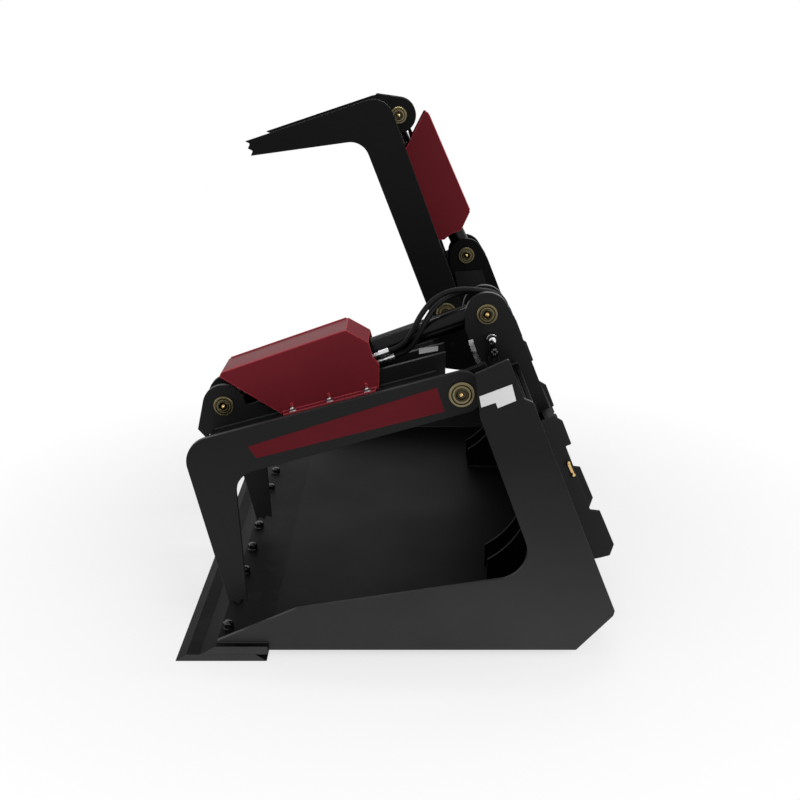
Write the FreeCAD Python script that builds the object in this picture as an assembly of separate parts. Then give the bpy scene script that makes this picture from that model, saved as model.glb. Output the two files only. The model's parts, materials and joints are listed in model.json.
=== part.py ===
import FreeCAD, Part
import math
import os
from FreeCAD import Vector

# Scrap grapple bucket for a skid-steer loader, in millimetres.
# X runs from the cutting edge (-) to the loader side (+), Y across the width, Z up from the ground.
# The near grapple (-Y) is shut, the far grapple (+Y) is fully open.

# Bucket width and plates
BUCKET_WIDTH = 1676.0
SIDE_THICKNESS = 12.7
SHELL_THICKNESS = 10.0
EAR_THICKNESS = 16.0
ARM_PLATE_THICKNESS = 16.0
DECK_THICKNESS = 10.0
GUARD_THICKNESS = 4.0
RUNNING_GAP = 0.3
PIN_CLEARANCE = 0.05

# Cutting edges
EDGE_TIP_X = -574.0
BOLT_EDGE_LENGTH = 230.0
BOLT_EDGE_THICKNESS = 19.0
BOLT_EDGE_BEVEL = 28.0
BASE_EDGE_TIP_X = -511.5
BASE_EDGE_REAR_X = -341.0
BASE_EDGE_THICKNESS = 22.0
BASE_EDGE_BEVEL = 40.0
EDGE_OVERHANG = 20.0
EDGE_BOLT_COUNT = 11
EDGE_BOLT_PITCH = 152.4
EDGE_BOLT_X = -453.0
EDGE_BOLT_RADIUS = 8.0

# Floor, chamfer and sloping back
FLOOR_REAR_X = 436.0
HEEL_X = 527.0
HEEL_Z = 130.0
HEEL_CUT = 14.0
BACK_SLOPE = 22.36
BACK_HEIGHT = 591.0
BEND_RADIUS = 30.0
RUNNER_COUNT = 4
RUNNER_WIDTH = 100.0
GUSSET_FRONT_X = 238.0
GUSSET_LIP = 68.0
GUSSET_BEND_X = 292.0
GUSSET_BEND_LIP = 100.0
GUSSET_RADIUS = 240.0
GUSSET_TOP = 246.0
GUSSET_THICKNESS = 10.0
TOP_TUBE_SIZE = 64.0
TOP_TUBE_WALL = 8.0

# Side plates: the low wall, and the upright behind the side opening
SIDE_FRONT_X = -470.0
WALL_KNEE_X = -267.0
WALL_KNEE_Z = 136.0
WALL_KNEE_RADIUS = 60.0
OPENING_UP = 168.7
OPENING_IN = 143.9
OPENING_RADIUS = 75.0
UPRIGHT_IN = 129.0
UPRIGHT_TOP = 116.0
UPRIGHT_TOP_IN = 100.4
UPRIGHT_STEP = 16.5

# Grapples
GRAPPLE_CENTRE_Y = 441.0
ARM_HALF_WIDTH = 272.0
PIVOT_ABOVE_BACK = 43.77
PIVOT_IN = 155.19
ARM_SLOPE = 15.4
ARM_ABOVE_PIVOT = 57.0
ARM_BELOW_PIVOT = 50.0
ARM_BELOW_ROOT = 59.0
ARM_REACH = 710.0
TIP_CLEARANCE = 33.6
TIP_OUTER_REACH = 730.0
TIP_INNER_REACH = 683.0
LEG_ROOT_REACH = 605.0
ARM_OUTER_RADIUS = 66.0
ARM_INNER_RADIUS = 60.0
ARM_END_RADIUS = 49.0
TOOTH_COUNT = 2
TOOTH_DEPTH = 12.0
TOOTH_RADIUS = 4.0
ROD_PIN_REACH = 628.0
ROD_PIN_HEIGHT = 68.0
OPEN_ANGLE = 85.0
DECK_HEIGHT = 10.0
DECK_REAR_REACH = 50.0
RIB_REAR_REACH = 17.0
RIB_LOW_REACH = 39.8
RIB_LOW_HEIGHT = 29.5
RIB_LOW_LENGTH = 60.0
RIB_INSET = 4.0
ARM_EAR_RADIUS = 57.0
ARM_EAR_FRONT = 717.0
ARM_EAR_FRONT_HEIGHT = 23.0
DECK_BEND_REACH = 696.0
DECK_BEND_RADIUS = 30.0
FRONT_PLATE_DROP = 130.0

# Towers and cylinder pins
BASE_PIN_ABOVE_BACK = 153.57
BASE_PIN_IN = 27.84
EAR_HALF_SPAN = 55.0
TOWER_EAR_RADIUS = 57.0
TOWER_FRONT = 95.5
TOWER_SHOULDER = 117.0
TOWER_FOOT_DROP = 121.0
TOWER_REAR = 36.0
WEB_THICKNESS = 10.0
WEB_FRONT_INSET = 20.0
WEB_FRONT_RISE = 6.0
WEB_FRONT_HEIGHT = 60.0
WEB_REAR_INSET = 4.0
WEB_REAR_DROP = 30.0
WEB_REAR_HEIGHT = 106.0
LUG_RADIUS = 44.0
LUG_THICKNESS = 25.0
INNER_LUG_THICKNESS = 50.0
INNER_LUG_WALL = 10.0
INNER_LUG_HOLE = 6.0

# Pins and caps
PIVOT_PIN_RADIUS = 22.0
PIVOT_BUSH_WALL = 6.0
PIVOT_CAP_RADIUS = 32.0
CYLINDER_PIN_RADIUS = 16.0
CYLINDER_CAP_RADIUS = 27.0
CAP_THICKNESS = 7.0
CAP_RING = 3.0
GREASE_RADIUS = 4.5
GREASE_LENGTH = 9.0

# Hydraulic cylinder
BORE_RADIUS = 25.4
BARREL_RADIUS = 30.0
BARREL_LENGTH = 398.0
BARREL_BASE = 34.0
BASE_CAP_LENGTH = 14.0
GLAND_RADIUS = 31.5
GLAND_LENGTH = 34.0
ROD_RADIUS = 16.0
ROD_EYE_NECK = 52.0
ROD_END_GAP = 3.0
PISTON_LENGTH = 32.0
EYE_RADIUS = 30.0
EYE_WIDTH = 62.0

# Loader mount
MOUNT_WIDTH = 1142.0
MOUNT_PLATE_WIDTH = 330.0
MOUNT_STANDOFF = 38.0
MOUNT_FACE = 22.0
MOUNT_PLATE_THICKNESS = 10.0
MOUNT_SIDE_THICKNESS = 10.0
MOUNT_FOOT = 8.0
MOUNT_HEIGHT = 440.0
LIP_REACH = 16.0
LIP_PLATE_REACH = 19.0
LIP_LENGTH = 90.0
LIP_THICKNESS = 7.0
FLANGE_REACH = 26.0
FLANGE_PLATE_REACH = 20.0
FLANGE_TOP = 138.0
FLANGE_THICKNESS = 11.0
SLOT_SPACING = 902.0
SLOT_LENGTH = 70.0
SLOT_RADIUS = 6.5
SLOT_CUT = 90.0

# Sheet guard over each cylinder
GUARD_HALF_WIDTH = 72.0
GUARD_FLANGE = 26.0
GUARD_FRONT_REACH = 604.0
GUARD_FRONT_HEIGHT = 160.0
GUARD_CREST_REACH = 252.0
GUARD_CREST_HEIGHT = 184.0
GUARD_REAR_REACH = 204.0
GUARD_REAR_HEIGHT = 136.0
GUARD_NECK_REACH = 193.0
GUARD_NECK_HEIGHT = 72.0
GUARD_TOE_REACH = 482.0
GUARD_HEEL_REACH = 212.0
GUARD_BEND = 4.0
GUARD_BOLT_COUNT = 3
GUARD_BOLT_RADIUS = 5.0

# Hoses of the near cylinder: steel lines as (towards -Y, above the axis, reach of the hose end)
HOSE_RADIUS = 7.5
LINE_RADIUS = 6.0
LINE_INSET = 11.0
PORT_RADIUS = 7.5
FERRULE_RADIUS = 9.5
FERRULE_LENGTH = 28.0
HOSE_LINES = [(40.0, -10.0, 276.0), (26.5, -32.0, 268.0)]
COUPLING_RADIUS = 12.0
COUPLING_SHANK = 8.6
COUPLING_REACH = 34.0
COUPLING_PLACES = [(13.0, 63.0), (19.0, 96.0)]
ELBOW_INSETS = [20.0, 52.0]
ELBOW_ANGLES = [48.0, 59.4]
ELBOW_LENGTH = 21.0
ELBOW_RADIUS = 7.8
HOSE_LEAD = 26.0
HOSE_TAIL = 28.5
HOSE_A_ROUTE = [
    Vector(7.5, -485, 732),
    Vector(24.5, -488, 759.5),
    Vector(43, -481, 799),
    Vector(73, -468, 836),
    Vector(112, -461, 859.5),
    Vector(156, -459, 867),
    Vector(200, -460, 863),
    Vector(237.5, -460, 855.5),
    Vector(259.9, -460, 837.3),
    Vector(269.8, -460, 810.2),
]
HOSE_B_ROUTE = [
    Vector(22, -477, 714.5),
    Vector(37.5, -484.5, 742),
    Vector(57, -479, 782),
    Vector(82, -457, 818),
    Vector(118, -440, 842),
    Vector(160, -430, 854),
    Vector(202, -427.5, 857.5),
    Vector(241.9, -428, 851.7),
    Vector(264.3, -428, 834.7),
    Vector(276.4, -428, 809.3),
    Vector(275.6, -428, 781.1),
]

# Values worked out from the driving dimensions
HALF_WIDTH = BUCKET_WIDTH / 2
INSIDE_Y = HALF_WIDTH - SIDE_THICKNESS
EDGE_HALF = HALF_WIDTH + EDGE_OVERHANG
FLOOR_Z = BOLT_EDGE_THICKNESS
BASE_EDGE_TOP = BOLT_EDGE_THICKNESS + BASE_EDGE_THICKNESS
SLOPE = math.radians(BACK_SLOPE)
UP_SLOPE = Vector(-math.sin(SLOPE), 0, math.cos(SLOPE))
OUT_SLOPE = Vector(math.cos(SLOPE), 0, math.sin(SLOPE))
HEEL = Vector(HEEL_X, 0, HEEL_Z)
HEEL_FOOT = Vector(HEEL_X - 3, 0, HEEL_Z - HEEL_CUT)
FLOOR_END = Vector(FLOOR_REAR_X, 0, FLOOR_Z)
PIVOT = HEEL + UP_SLOPE * (BACK_HEIGHT + PIVOT_ABOVE_BACK) - OUT_SLOPE * PIVOT_IN
BASE_PIN = HEEL + UP_SLOPE * (BACK_HEIGHT + BASE_PIN_ABOVE_BACK) - OUT_SLOPE * BASE_PIN_IN
TOWER_TOP = BACK_HEIGHT + TOWER_SHOULDER
TOWER_FOOT = BACK_HEIGHT - TOWER_FOOT_DROP
COUPLINGS = [BASE_PIN + Vector(rear, 0, -drop) for rear, drop in COUPLING_PLACES]
ARM_TILT = math.radians(ARM_SLOPE)
ARM_ALONG = Vector(-math.cos(ARM_TILT), 0, -math.sin(ARM_TILT))
ARM_UP = Vector(-math.sin(ARM_TILT), 0, math.cos(ARM_TILT))
TIP_RISE = PIVOT.z - BASE_EDGE_TOP - TIP_CLEARANCE - TIP_OUTER_REACH * math.sin(ARM_TILT)
LEG_DROP = TIP_RISE / math.cos(ARM_TILT)
Y_AXIS = Vector(0, 1, 0)


def slope_point(up, out):
    """A point on the bucket's back, measured up the slope and outwards from its face."""
    return HEEL + UP_SLOPE * up + OUT_SLOPE * out


def arm_point(reach, height):
    """A point on a shut grapple, measured from its pivot along the arm and above it."""
    return PIVOT + ARM_ALONG * reach + ARM_UP * height


def slope_coordinates(point):
    """How far up the slope and out from the back a point lies."""
    offset = point - HEEL
    return offset.dot(UP_SLOPE), offset.dot(OUT_SLOPE)


ROD_PIN = arm_point(ROD_PIN_REACH, ROD_PIN_HEIGHT)
CYLINDER_ALONG = (ROD_PIN - BASE_PIN).normalize()
CYLINDER_SHUT = (ROD_PIN - BASE_PIN).Length


def turned(point, centre, angle):
    """A point of the XZ plane turned about a Y axis through a centre, by degrees."""
    spin = FreeCAD.Rotation(Y_AXIS, angle)
    return centre + spin.multVec(point - centre)


ROD_PIN_OPEN = turned(ROD_PIN, PIVOT, OPEN_ANGLE)
CYLINDER_OPEN = (ROD_PIN_OPEN - BASE_PIN).Length
STROKE = CYLINDER_SHUT - CYLINDER_OPEN
BARREL_SWING = math.degrees(CYLINDER_ALONG.getAngle(ROD_PIN_OPEN - BASE_PIN))


def outline(corners):
    """A closed wire through (point, radius) corners, each corner rounded by its radius."""
    starts, ends, middles = [], [], []
    count = len(corners)
    for i, (point, radius) in enumerate(corners):
        before = (corners[i - 1][0] - point).normalize()
        after = (corners[(i + 1) % count][0] - point).normalize()
        if radius <= 0:
            starts.append(point)
            ends.append(point)
            middles.append(None)
            continue
        half = before.getAngle(after) / 2
        reach = radius / math.tan(half)
        bisector = (before + after).normalize()
        starts.append(point + before * reach)
        ends.append(point + after * reach)
        middles.append(point + bisector * (radius / math.sin(half) - radius))
    edges = []
    for i in range(count):
        if middles[i] is not None:
            edges.append(Part.Arc(starts[i], middles[i], ends[i]).toShape())
        follow = starts[(i + 1) % count]
        if (follow - ends[i]).Length > 0.001:
            edges.append(Part.LineSegment(ends[i], follow).toShape())
    return Part.Wire(edges)


def plate(corners, y_low, thickness):
    """A flat plate with a rounded outline in the XZ plane, from y_low upwards in Y."""
    face = Part.Face(outline(corners))
    solid = face.extrude(Vector(0, thickness, 0))
    solid.translate(Vector(0, y_low, 0))
    return solid


def sharp(points):
    """Corners without rounding."""
    return [(point, 0) for point in points]


def rod_y(centre, radius, y_low, y_high):
    """A round bar along Y."""
    base = Vector(centre.x, y_low, centre.z)
    return Part.makeCylinder(radius, y_high - y_low, base, Y_AXIS)


def tube_y(centre, outer, inner, y_low, y_high):
    """A round tube along Y."""
    return rod_y(centre, outer, y_low, y_high).cut(rod_y(centre, inner, y_low - 1, y_high + 1))


def mirrored(shape):
    """The same piece on the other side of the bucket."""
    return shape.mirror(Vector(0, 0, 0), Y_AXIS)


def group(solids):
    """Several solids of one node."""
    return Part.makeCompound(solids)


def save(name, shape):
    """Writes one node's STEP file."""
    shape.exportStep(os.path.join("parts", name + ".step"))


# Bucket

def side_plate_outline():
    """The side plate: a low wedge wall, an upright at the rear and a chamfered heel."""
    step = UPRIGHT_STEP
    front_top = BASE_EDGE_TOP + SIDE_THICKNESS / 3
    top_rear = BACK_HEIGHT + UPRIGHT_TOP + step / 4
    return [
        (Vector(BASE_EDGE_REAR_X, 0, FLOOR_Z), 0),
        (Vector(FLOOR_REAR_X, 0, FLOOR_Z), 6),
        (HEEL_FOOT, 0),
        (HEEL, 0),
        (slope_point(BACK_HEIGHT, 0), 0),
        (slope_point(BACK_HEIGHT + step, -step), 0),
        (slope_point(top_rear, -step), 4),
        (slope_point(BACK_HEIGHT + UPRIGHT_TOP, -UPRIGHT_TOP_IN), 4),
        (slope_point(BACK_HEIGHT + step / 2, -UPRIGHT_IN), 12),
        (slope_point(OPENING_UP, -OPENING_IN), OPENING_RADIUS),
        (Vector(WALL_KNEE_X, 0, WALL_KNEE_Z), WALL_KNEE_RADIUS),
        (Vector(SIDE_FRONT_X, 0, front_top), 0),
        (Vector(SIDE_FRONT_X, 0, BASE_EDGE_TOP), 0),
        (Vector(BASE_EDGE_REAR_X, 0, BASE_EDGE_TOP), 0),
    ]


def side_plate():
    """The near side plate, its outer face at half the bucket's width."""
    return plate(side_plate_outline(), -HALF_WIDTH, SIDE_THICKNESS)


def shell_bends():
    """The inner corners of the shell, at the heel and at the floor."""
    wall = SHELL_THICKNESS
    along_heel = (HEEL_FOOT - FLOOR_END).normalize()
    heel_angle = math.atan2(along_heel.z, along_heel.x)
    heel_in = Vector(-along_heel.z, 0, along_heel.x) * wall
    inner_floor = FLOOR_END + Vector(-wall * math.tan(heel_angle / 2), 0, wall)
    inner_heel = line_meeting(FLOOR_END + heel_in, along_heel, slope_point(0, -wall), UP_SLOPE)
    return inner_heel, inner_floor


def bucket_shell():
    """Floor, heel chamfer and sloping back, bent from one plate between the side plates."""
    wall = SHELL_THICKNESS
    inner_heel, inner_floor = shell_bends()
    corners = [
        (Vector(BASE_EDGE_REAR_X, 0, FLOOR_Z), 0),
        (FLOOR_END, 6),
        (HEEL_FOOT, 0),
        (HEEL, 0),
        (slope_point(BACK_HEIGHT, 0), 0),
        (slope_point(BACK_HEIGHT, -wall), 0),
        (inner_heel, BEND_RADIUS),
        (inner_floor, BEND_RADIUS),
        (Vector(BASE_EDGE_REAR_X, 0, FLOOR_Z + wall), 0),
    ]
    return plate(corners, -INSIDE_Y, 2 * INSIDE_Y)


def line_meeting(start, along, other, other_along):
    """Where two lines of the XZ plane cross."""
    cross = along.x * other_along.z - along.z * other_along.x
    gap = other - start
    reach = (gap.x * other_along.z - gap.z * other_along.x) / cross
    return start + along * reach


def base_edge():
    """The cutting edge welded to the floor, bevelled at the front, with bolt holes."""
    corners = sharp([
        Vector(BASE_EDGE_TIP_X, 0, FLOOR_Z),
        Vector(BASE_EDGE_REAR_X, 0, FLOOR_Z),
        Vector(BASE_EDGE_REAR_X, 0, BASE_EDGE_TOP),
        Vector(BASE_EDGE_TIP_X + BASE_EDGE_BEVEL, 0, BASE_EDGE_TOP),
    ])
    edge = plate(corners, -EDGE_HALF, 2 * EDGE_HALF)
    for y in edge_bolt_places():
        edge = edge.cut(bolt_shank(y, PIN_CLEARANCE))
    return edge


def bolt_on_edge():
    """The reversible edge bolted underneath, bevelled along both long sides."""
    rear = EDGE_TIP_X + BOLT_EDGE_LENGTH
    corners = sharp([
        Vector(EDGE_TIP_X, 0, 0),
        Vector(rear, 0, 0),
        Vector(rear - BOLT_EDGE_BEVEL, 0, BOLT_EDGE_THICKNESS),
        Vector(EDGE_TIP_X + BOLT_EDGE_BEVEL, 0, BOLT_EDGE_THICKNESS),
    ])
    edge = plate(corners, -EDGE_HALF, 2 * EDGE_HALF)
    for y in edge_bolt_places():
        edge = edge.cut(bolt_shank(y, PIN_CLEARANCE)).cut(bolt_recess(y))
    return edge


def edge_bolt_places():
    """The Y of each edge bolt."""
    first = -EDGE_BOLT_PITCH * (EDGE_BOLT_COUNT - 1) / 2
    return [first + EDGE_BOLT_PITCH * i for i in range(EDGE_BOLT_COUNT)]


def bolt_shank(y, clearance):
    """The round of one edge bolt's shank."""
    base = Vector(EDGE_BOLT_X, y, -1)
    return Part.makeCylinder(EDGE_BOLT_RADIUS + clearance, BASE_EDGE_TOP + 2, base)


def bolt_recess(y):
    """The countersink of a plough bolt under the bolt-on edge."""
    cone = Part.makeCone(2 * EDGE_BOLT_RADIUS + 1, EDGE_BOLT_RADIUS, EDGE_BOLT_RADIUS + 1)
    cone.translate(Vector(EDGE_BOLT_X, y, -0.5))
    return cone


def edge_bolts():
    """Plough bolts with hexagon nuts on top of the base edge."""
    bolts = []
    nut_across = 3.0 * EDGE_BOLT_RADIUS
    nut_height = 1.7 * EDGE_BOLT_RADIUS
    for y in edge_bolt_places():
        shank_top = BASE_EDGE_TOP + nut_height + 3
        shank = Part.makeCylinder(EDGE_BOLT_RADIUS, shank_top - 1, Vector(EDGE_BOLT_X, y, 1))
        head = Part.makeCone(2 * EDGE_BOLT_RADIUS - 0.6, EDGE_BOLT_RADIUS, EDGE_BOLT_RADIUS)
        head.translate(Vector(EDGE_BOLT_X, y, 0.6))
        nut = hexagon(Vector(EDGE_BOLT_X, y, BASE_EDGE_TOP), nut_across, nut_height)
        bolts.append(shank.fuse([head, nut]).removeSplitter())
    return group(bolts)


def hexagon(base, across, height):
    """A hexagon nut or head standing on a point, along Z."""
    radius = across / math.sqrt(3)
    points = []
    for i in range(7):
        angle = math.radians(60 * i)
        points.append(base + Vector(radius * math.cos(angle), radius * math.sin(angle), 0))
    return Part.Face(Part.makePolygon(points)).extrude(Vector(0, 0, height))


def wear_runners():
    """Strips under the floor that carry its rear on the ground."""
    runners = []
    front = EDGE_TIP_X + BOLT_EDGE_LENGTH + 20
    rear = FLOOR_REAR_X - 10
    span = 2 * (INSIDE_Y - RUNNER_WIDTH)
    for i in range(RUNNER_COUNT):
        y = -span / 2 + span * i / (RUNNER_COUNT - 1)
        corners = sharp([
            Vector(front + FLOOR_Z, 0, 0),
            Vector(rear - FLOOR_Z, 0, 0),
            Vector(rear, 0, FLOOR_Z),
            Vector(front, 0, FLOOR_Z),
        ])
        runners.append(plate(corners, y - RUNNER_WIDTH / 2, RUNNER_WIDTH))
    return group(runners)


def ear_places():
    """The lower Y of the two ear plates of the near tower."""
    return [-GRAPPLE_CENTRE_Y - EAR_HALF_SPAN, -GRAPPLE_CENTRE_Y + EAR_HALF_SPAN - EAR_THICKNESS]


def corner_gussets():
    """Curved gussets between floor and back, in line with the tower ears."""
    wall = SHELL_THICKNESS
    low = Vector(GUSSET_FRONT_X, 0, FLOOR_Z + wall + GUSSET_LIP)
    bend = Vector(GUSSET_BEND_X, 0, FLOOR_Z + wall + GUSSET_BEND_LIP)
    corners = [
        (low, 0),
        (bend, GUSSET_RADIUS),
        (slope_point(GUSSET_TOP, -wall), 0),
        (slope_point(GUSSET_TOP, 0), 0),
        (Vector(HEEL_X, 0, FLOOR_Z), 0),
        (Vector(GUSSET_FRONT_X, 0, FLOOR_Z), 0),
    ]
    blank = plate(corners, 0, GUSSET_THICKNESS)
    gussets = []
    inside = inside_of_shell()
    for y in ear_places():
        gusset = blank.translated(Vector(0, y + EAR_THICKNESS / 2 - GUSSET_THICKNESS / 2, 0))
        gusset = gusset.common(inside)
        gussets.append(gusset)
        gussets.append(mirrored(gusset))
    return group([piece.Solids[0] for piece in gussets])


def inside_of_shell():
    """The space that the shell's inner faces bound."""
    wall = SHELL_THICKNESS
    inner_heel, inner_floor = shell_bends()
    corners = [
        (Vector(SIDE_FRONT_X, 0, FLOOR_Z + wall), 0),
        (slope_point(BACK_HEIGHT, -wall), 0),
        (inner_heel, BEND_RADIUS),
        (inner_floor, BEND_RADIUS),
    ]
    return plate(corners, -INSIDE_Y, 2 * INSIDE_Y)


def top_tube_corners():
    """The square tube in front of the back plate's upper edge."""
    top = BACK_HEIGHT
    low = BACK_HEIGHT - TOP_TUBE_SIZE
    face = -SHELL_THICKNESS
    return [
        (slope_point(low, face), 6),
        (slope_point(top, face), 6),
        (slope_point(top, face - TOP_TUBE_SIZE), 6),
        (slope_point(low, face - TOP_TUBE_SIZE), 6),
    ]


def top_tube():
    """The square tube between the side plates."""
    wall = TOP_TUBE_WALL
    low = BACK_HEIGHT - TOP_TUBE_SIZE + wall
    high = BACK_HEIGHT - wall
    near = -SHELL_THICKNESS - wall
    deep = -SHELL_THICKNESS - TOP_TUBE_SIZE + wall
    inner = sharp([slope_point(low, near), slope_point(high, near), slope_point(high, deep), slope_point(low, deep)])
    outer = plate(top_tube_corners(), -INSIDE_Y, 2 * INSIDE_Y)
    return outer.cut(plate(inner, -INSIDE_Y - 1, 2 * INSIDE_Y + 2))


def tube_space():
    """The space that the top tube and the back plate take in a plate that stands on them."""
    tube = plate(sharp([point for point, radius in top_tube_corners()]), -HALF_WIDTH, BUCKET_WIDTH)
    below = sharp([
        slope_point(-50, -SHELL_THICKNESS),
        slope_point(BACK_HEIGHT, -SHELL_THICKNESS),
        slope_point(BACK_HEIGHT, 0),
        slope_point(-50, 0),
    ])
    return tube.fuse(plate(below, -HALF_WIDTH, BUCKET_WIDTH))


def tower_outline():
    """An ear plate: round head about the cylinder pin, straight rear edge down to the mount."""
    head = TOWER_EAR_RADIUS
    left = BASE_PIN - Vector(head, 0, 0)
    corner = slope_point(TOWER_TOP, TOWER_REAR)
    to_corner = corner - BASE_PIN
    lean = math.acos(head / to_corner.Length)
    bearing = math.atan2(to_corner.z, to_corner.x) + lean
    tangent = BASE_PIN + Vector(head * math.cos(bearing), 0, head * math.sin(bearing))
    half_way = (math.pi + bearing) / 2
    middle = BASE_PIN + Vector(head * math.cos(half_way), 0, head * math.sin(half_way))
    front_start = line_meeting(left, Vector(0, 0, -1), slope_point(0, -TOWER_FRONT), UP_SLOPE)
    foot_front = slope_point(TOWER_FOOT + TOWER_FRONT, -TOWER_FRONT)
    points = [
        left,
        front_start,
        foot_front,
        slope_point(TOWER_FOOT, -SHELL_THICKNESS),
        slope_point(TOWER_FOOT, 0),
        slope_point(MOUNT_FOOT, 0),
        slope_point(MOUNT_FOOT, MOUNT_FACE - MOUNT_PLATE_THICKNESS),
        slope_point(MOUNT_HEIGHT, MOUNT_FACE - MOUNT_PLATE_THICKNESS),
        slope_point(MOUNT_HEIGHT, TOWER_REAR),
        corner,
        tangent,
    ]
    edges = [Part.LineSegment(points[i], points[i + 1]).toShape() for i in range(len(points) - 1)]
    edges.append(Part.Arc(tangent, middle, left).toShape())
    return Part.Wire(edges)


def tower_ears():
    """The two ear plates of the near tower, outer then inner."""
    blank = Part.Face(tower_outline()).extrude(Vector(0, EAR_THICKNESS, 0))
    space = tube_space()
    ears = []
    for y in ear_places():
        ear = blank.translated(Vector(0, y, 0)).cut(space)
        ear = ear.cut(rod_y(BASE_PIN, CYLINDER_PIN_RADIUS + PIN_CLEARANCE, y - 1, y + EAR_THICKNESS + 1))
        ears.append(ear)
    return ears


def with_coupling_holes(ear, y_low):
    """The ear that carries the hydraulic couplings, bored for them."""
    for place in COUPLINGS:
        ear = ear.cut(rod_y(place, COUPLING_SHANK + PIN_CLEARANCE, y_low - 1, y_low + EAR_THICKNESS + 1))
    return ear


def tower_web():
    """The cross plate between the two ears, above the back plate and clear of the barrel."""
    low, high = ear_places()
    corners = web_corners(BACK_HEIGHT + WEB_FRONT_RISE, WEB_FRONT_HEIGHT, WEB_FRONT_INSET - TOWER_FRONT)
    rear_out = TOWER_REAR - WEB_REAR_INSET - WEB_THICKNESS
    back = web_corners(BACK_HEIGHT - WEB_REAR_DROP, WEB_REAR_HEIGHT, rear_out)
    start = low + EAR_THICKNESS
    width = high - start
    return [plate(corners, start, width), plate(back, start, width)]


def web_corners(up, height, out):
    """The section of a cross plate that stands on the slope at a place up and out."""
    return sharp([
        slope_point(up, out),
        slope_point(up, out + WEB_THICKNESS),
        slope_point(up + height, out + WEB_THICKNESS),
        slope_point(up + height, out),
    ])


def lug_places():
    """The lower Y of the two pivot lugs of the near grapple, just inside its arm plates."""
    outer = -GRAPPLE_CENTRE_Y - ARM_HALF_WIDTH + ARM_PLATE_THICKNESS + 3
    inner = -GRAPPLE_CENTRE_Y + ARM_HALF_WIDTH - ARM_PLATE_THICKNESS - 3 - INNER_LUG_THICKNESS
    return [outer, inner]


def pivot_lugs():
    """Lugs on the top tube that carry the near grapple's pivot pins."""
    up, out = slope_coordinates(PIVOT)
    head = LUG_RADIUS
    left = PIVOT - OUT_SLOPE * head
    top = PIVOT + UP_SLOPE * head
    middle = PIVOT - OUT_SLOPE * (head * math.cos(math.pi / 4)) + UP_SLOPE * (head * math.sin(math.pi / 4))
    tube_front = -SHELL_THICKNESS - TOP_TUBE_SIZE
    points = [
        left,
        slope_point(up - 60, out - head),
        slope_point(BACK_HEIGHT - TOP_TUBE_SIZE - 60, -SHELL_THICKNESS),
        slope_point(BACK_HEIGHT, -SHELL_THICKNESS),
        slope_point(BACK_HEIGHT, tube_front),
        slope_point(up + head, tube_front),
        top,
    ]
    edges = [Part.LineSegment(points[i], points[i + 1]).toShape() for i in range(len(points) - 1)]
    edges.append(Part.Arc(top, middle, left).toShape())
    face = Part.Face(Part.Wire(edges))
    space = tube_space()
    bore = PIVOT_PIN_RADIUS + PIN_CLEARANCE
    outer_y, inner_y = lug_places()
    outer = face.extrude(Vector(0, LUG_THICKNESS, 0)).translated(Vector(0, outer_y, 0)).cut(space)
    outer = outer.cut(rod_y(PIVOT, bore, outer_y - 1, outer_y + LUG_THICKNESS + 1))
    inner_end = inner_y + INNER_LUG_THICKNESS
    inner = face.extrude(Vector(0, INNER_LUG_THICKNESS, 0)).translated(Vector(0, inner_y, 0)).cut(space)
    inner = inner.cut(rod_y(PIVOT, bore, inner_y + INNER_LUG_WALL, inner_end + 1))
    inner = inner.cut(rod_y(PIVOT, INNER_LUG_HOLE, inner_y - 1, inner_end + 1))
    return [outer, inner]


def capped_pin(centre, radius, cap_radius, y_low, y_high):
    """A pin with a ringed cap and a grease fitting on each end, along Y."""
    pin = rod_y(centre, radius, y_low, y_high)
    pieces = []
    for y, way in ((y_low, -1), (y_high, 1)):
        pieces.append(pin_cap(centre, cap_radius, y, way))
    return pin.fuse(pieces).removeSplitter()


def pin_cap(centre, cap_radius, y, way):
    """One stepped cap: flat washer, raised ring and a round grease fitting."""
    base = Vector(centre.x, y, centre.z)
    outward = Vector(0, way, 0)
    washer = Part.makeCylinder(cap_radius, CAP_THICKNESS, base, outward)
    ring_base = base + outward * CAP_THICKNESS
    ring = Part.makeCylinder(cap_radius * 0.68, CAP_RING, ring_base, outward)
    hollow = Part.makeCylinder(cap_radius * 0.46, CAP_RING + 1, ring_base, outward)
    fitting = Part.makeCylinder(GREASE_RADIUS, GREASE_LENGTH, ring_base - outward, outward)
    return washer.fuse([ring.cut(hollow), fitting])


def pivot_pins():
    """The near grapple's two pivot pins, each through an arm plate and its lug."""
    outer_face = -GRAPPLE_CENTRE_Y - ARM_HALF_WIDTH
    outer_lug, inner_lug = lug_places()
    inner_face = -GRAPPLE_CENTRE_Y + ARM_HALF_WIDTH
    gap = RUNNING_GAP
    outer = one_end_pin(outer_face - gap, outer_lug + LUG_THICKNESS, -1)
    washer_base = Vector(PIVOT.x, outer_lug + LUG_THICKNESS, PIVOT.z)
    washer = Part.makeCylinder(PIVOT_CAP_RADIUS, CAP_THICKNESS, washer_base, Y_AXIS)
    inner = one_end_pin(inner_face + gap, inner_lug + INNER_LUG_WALL + gap, 1)
    return [outer.fuse(washer).removeSplitter(), inner]


def one_end_pin(y_face, y_lug, way):
    """A pivot pin with its ringed cap outside the arm plate, reaching into its lug."""
    low, high = min(y_face, y_lug), max(y_face, y_lug)
    pin = rod_y(PIVOT, PIVOT_PIN_RADIUS, low, high)
    return pin.fuse(pin_cap(PIVOT, PIVOT_CAP_RADIUS, y_face, way)).removeSplitter()


def cylinder_pin(centre):
    """A pin through a pair of ears of the near grapple."""
    low = -GRAPPLE_CENTRE_Y - EAR_HALF_SPAN
    high = -GRAPPLE_CENTRE_Y + EAR_HALF_SPAN
    return capped_pin(centre, CYLINDER_PIN_RADIUS, CYLINDER_CAP_RADIUS, low, high)


# Loader mount

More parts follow.
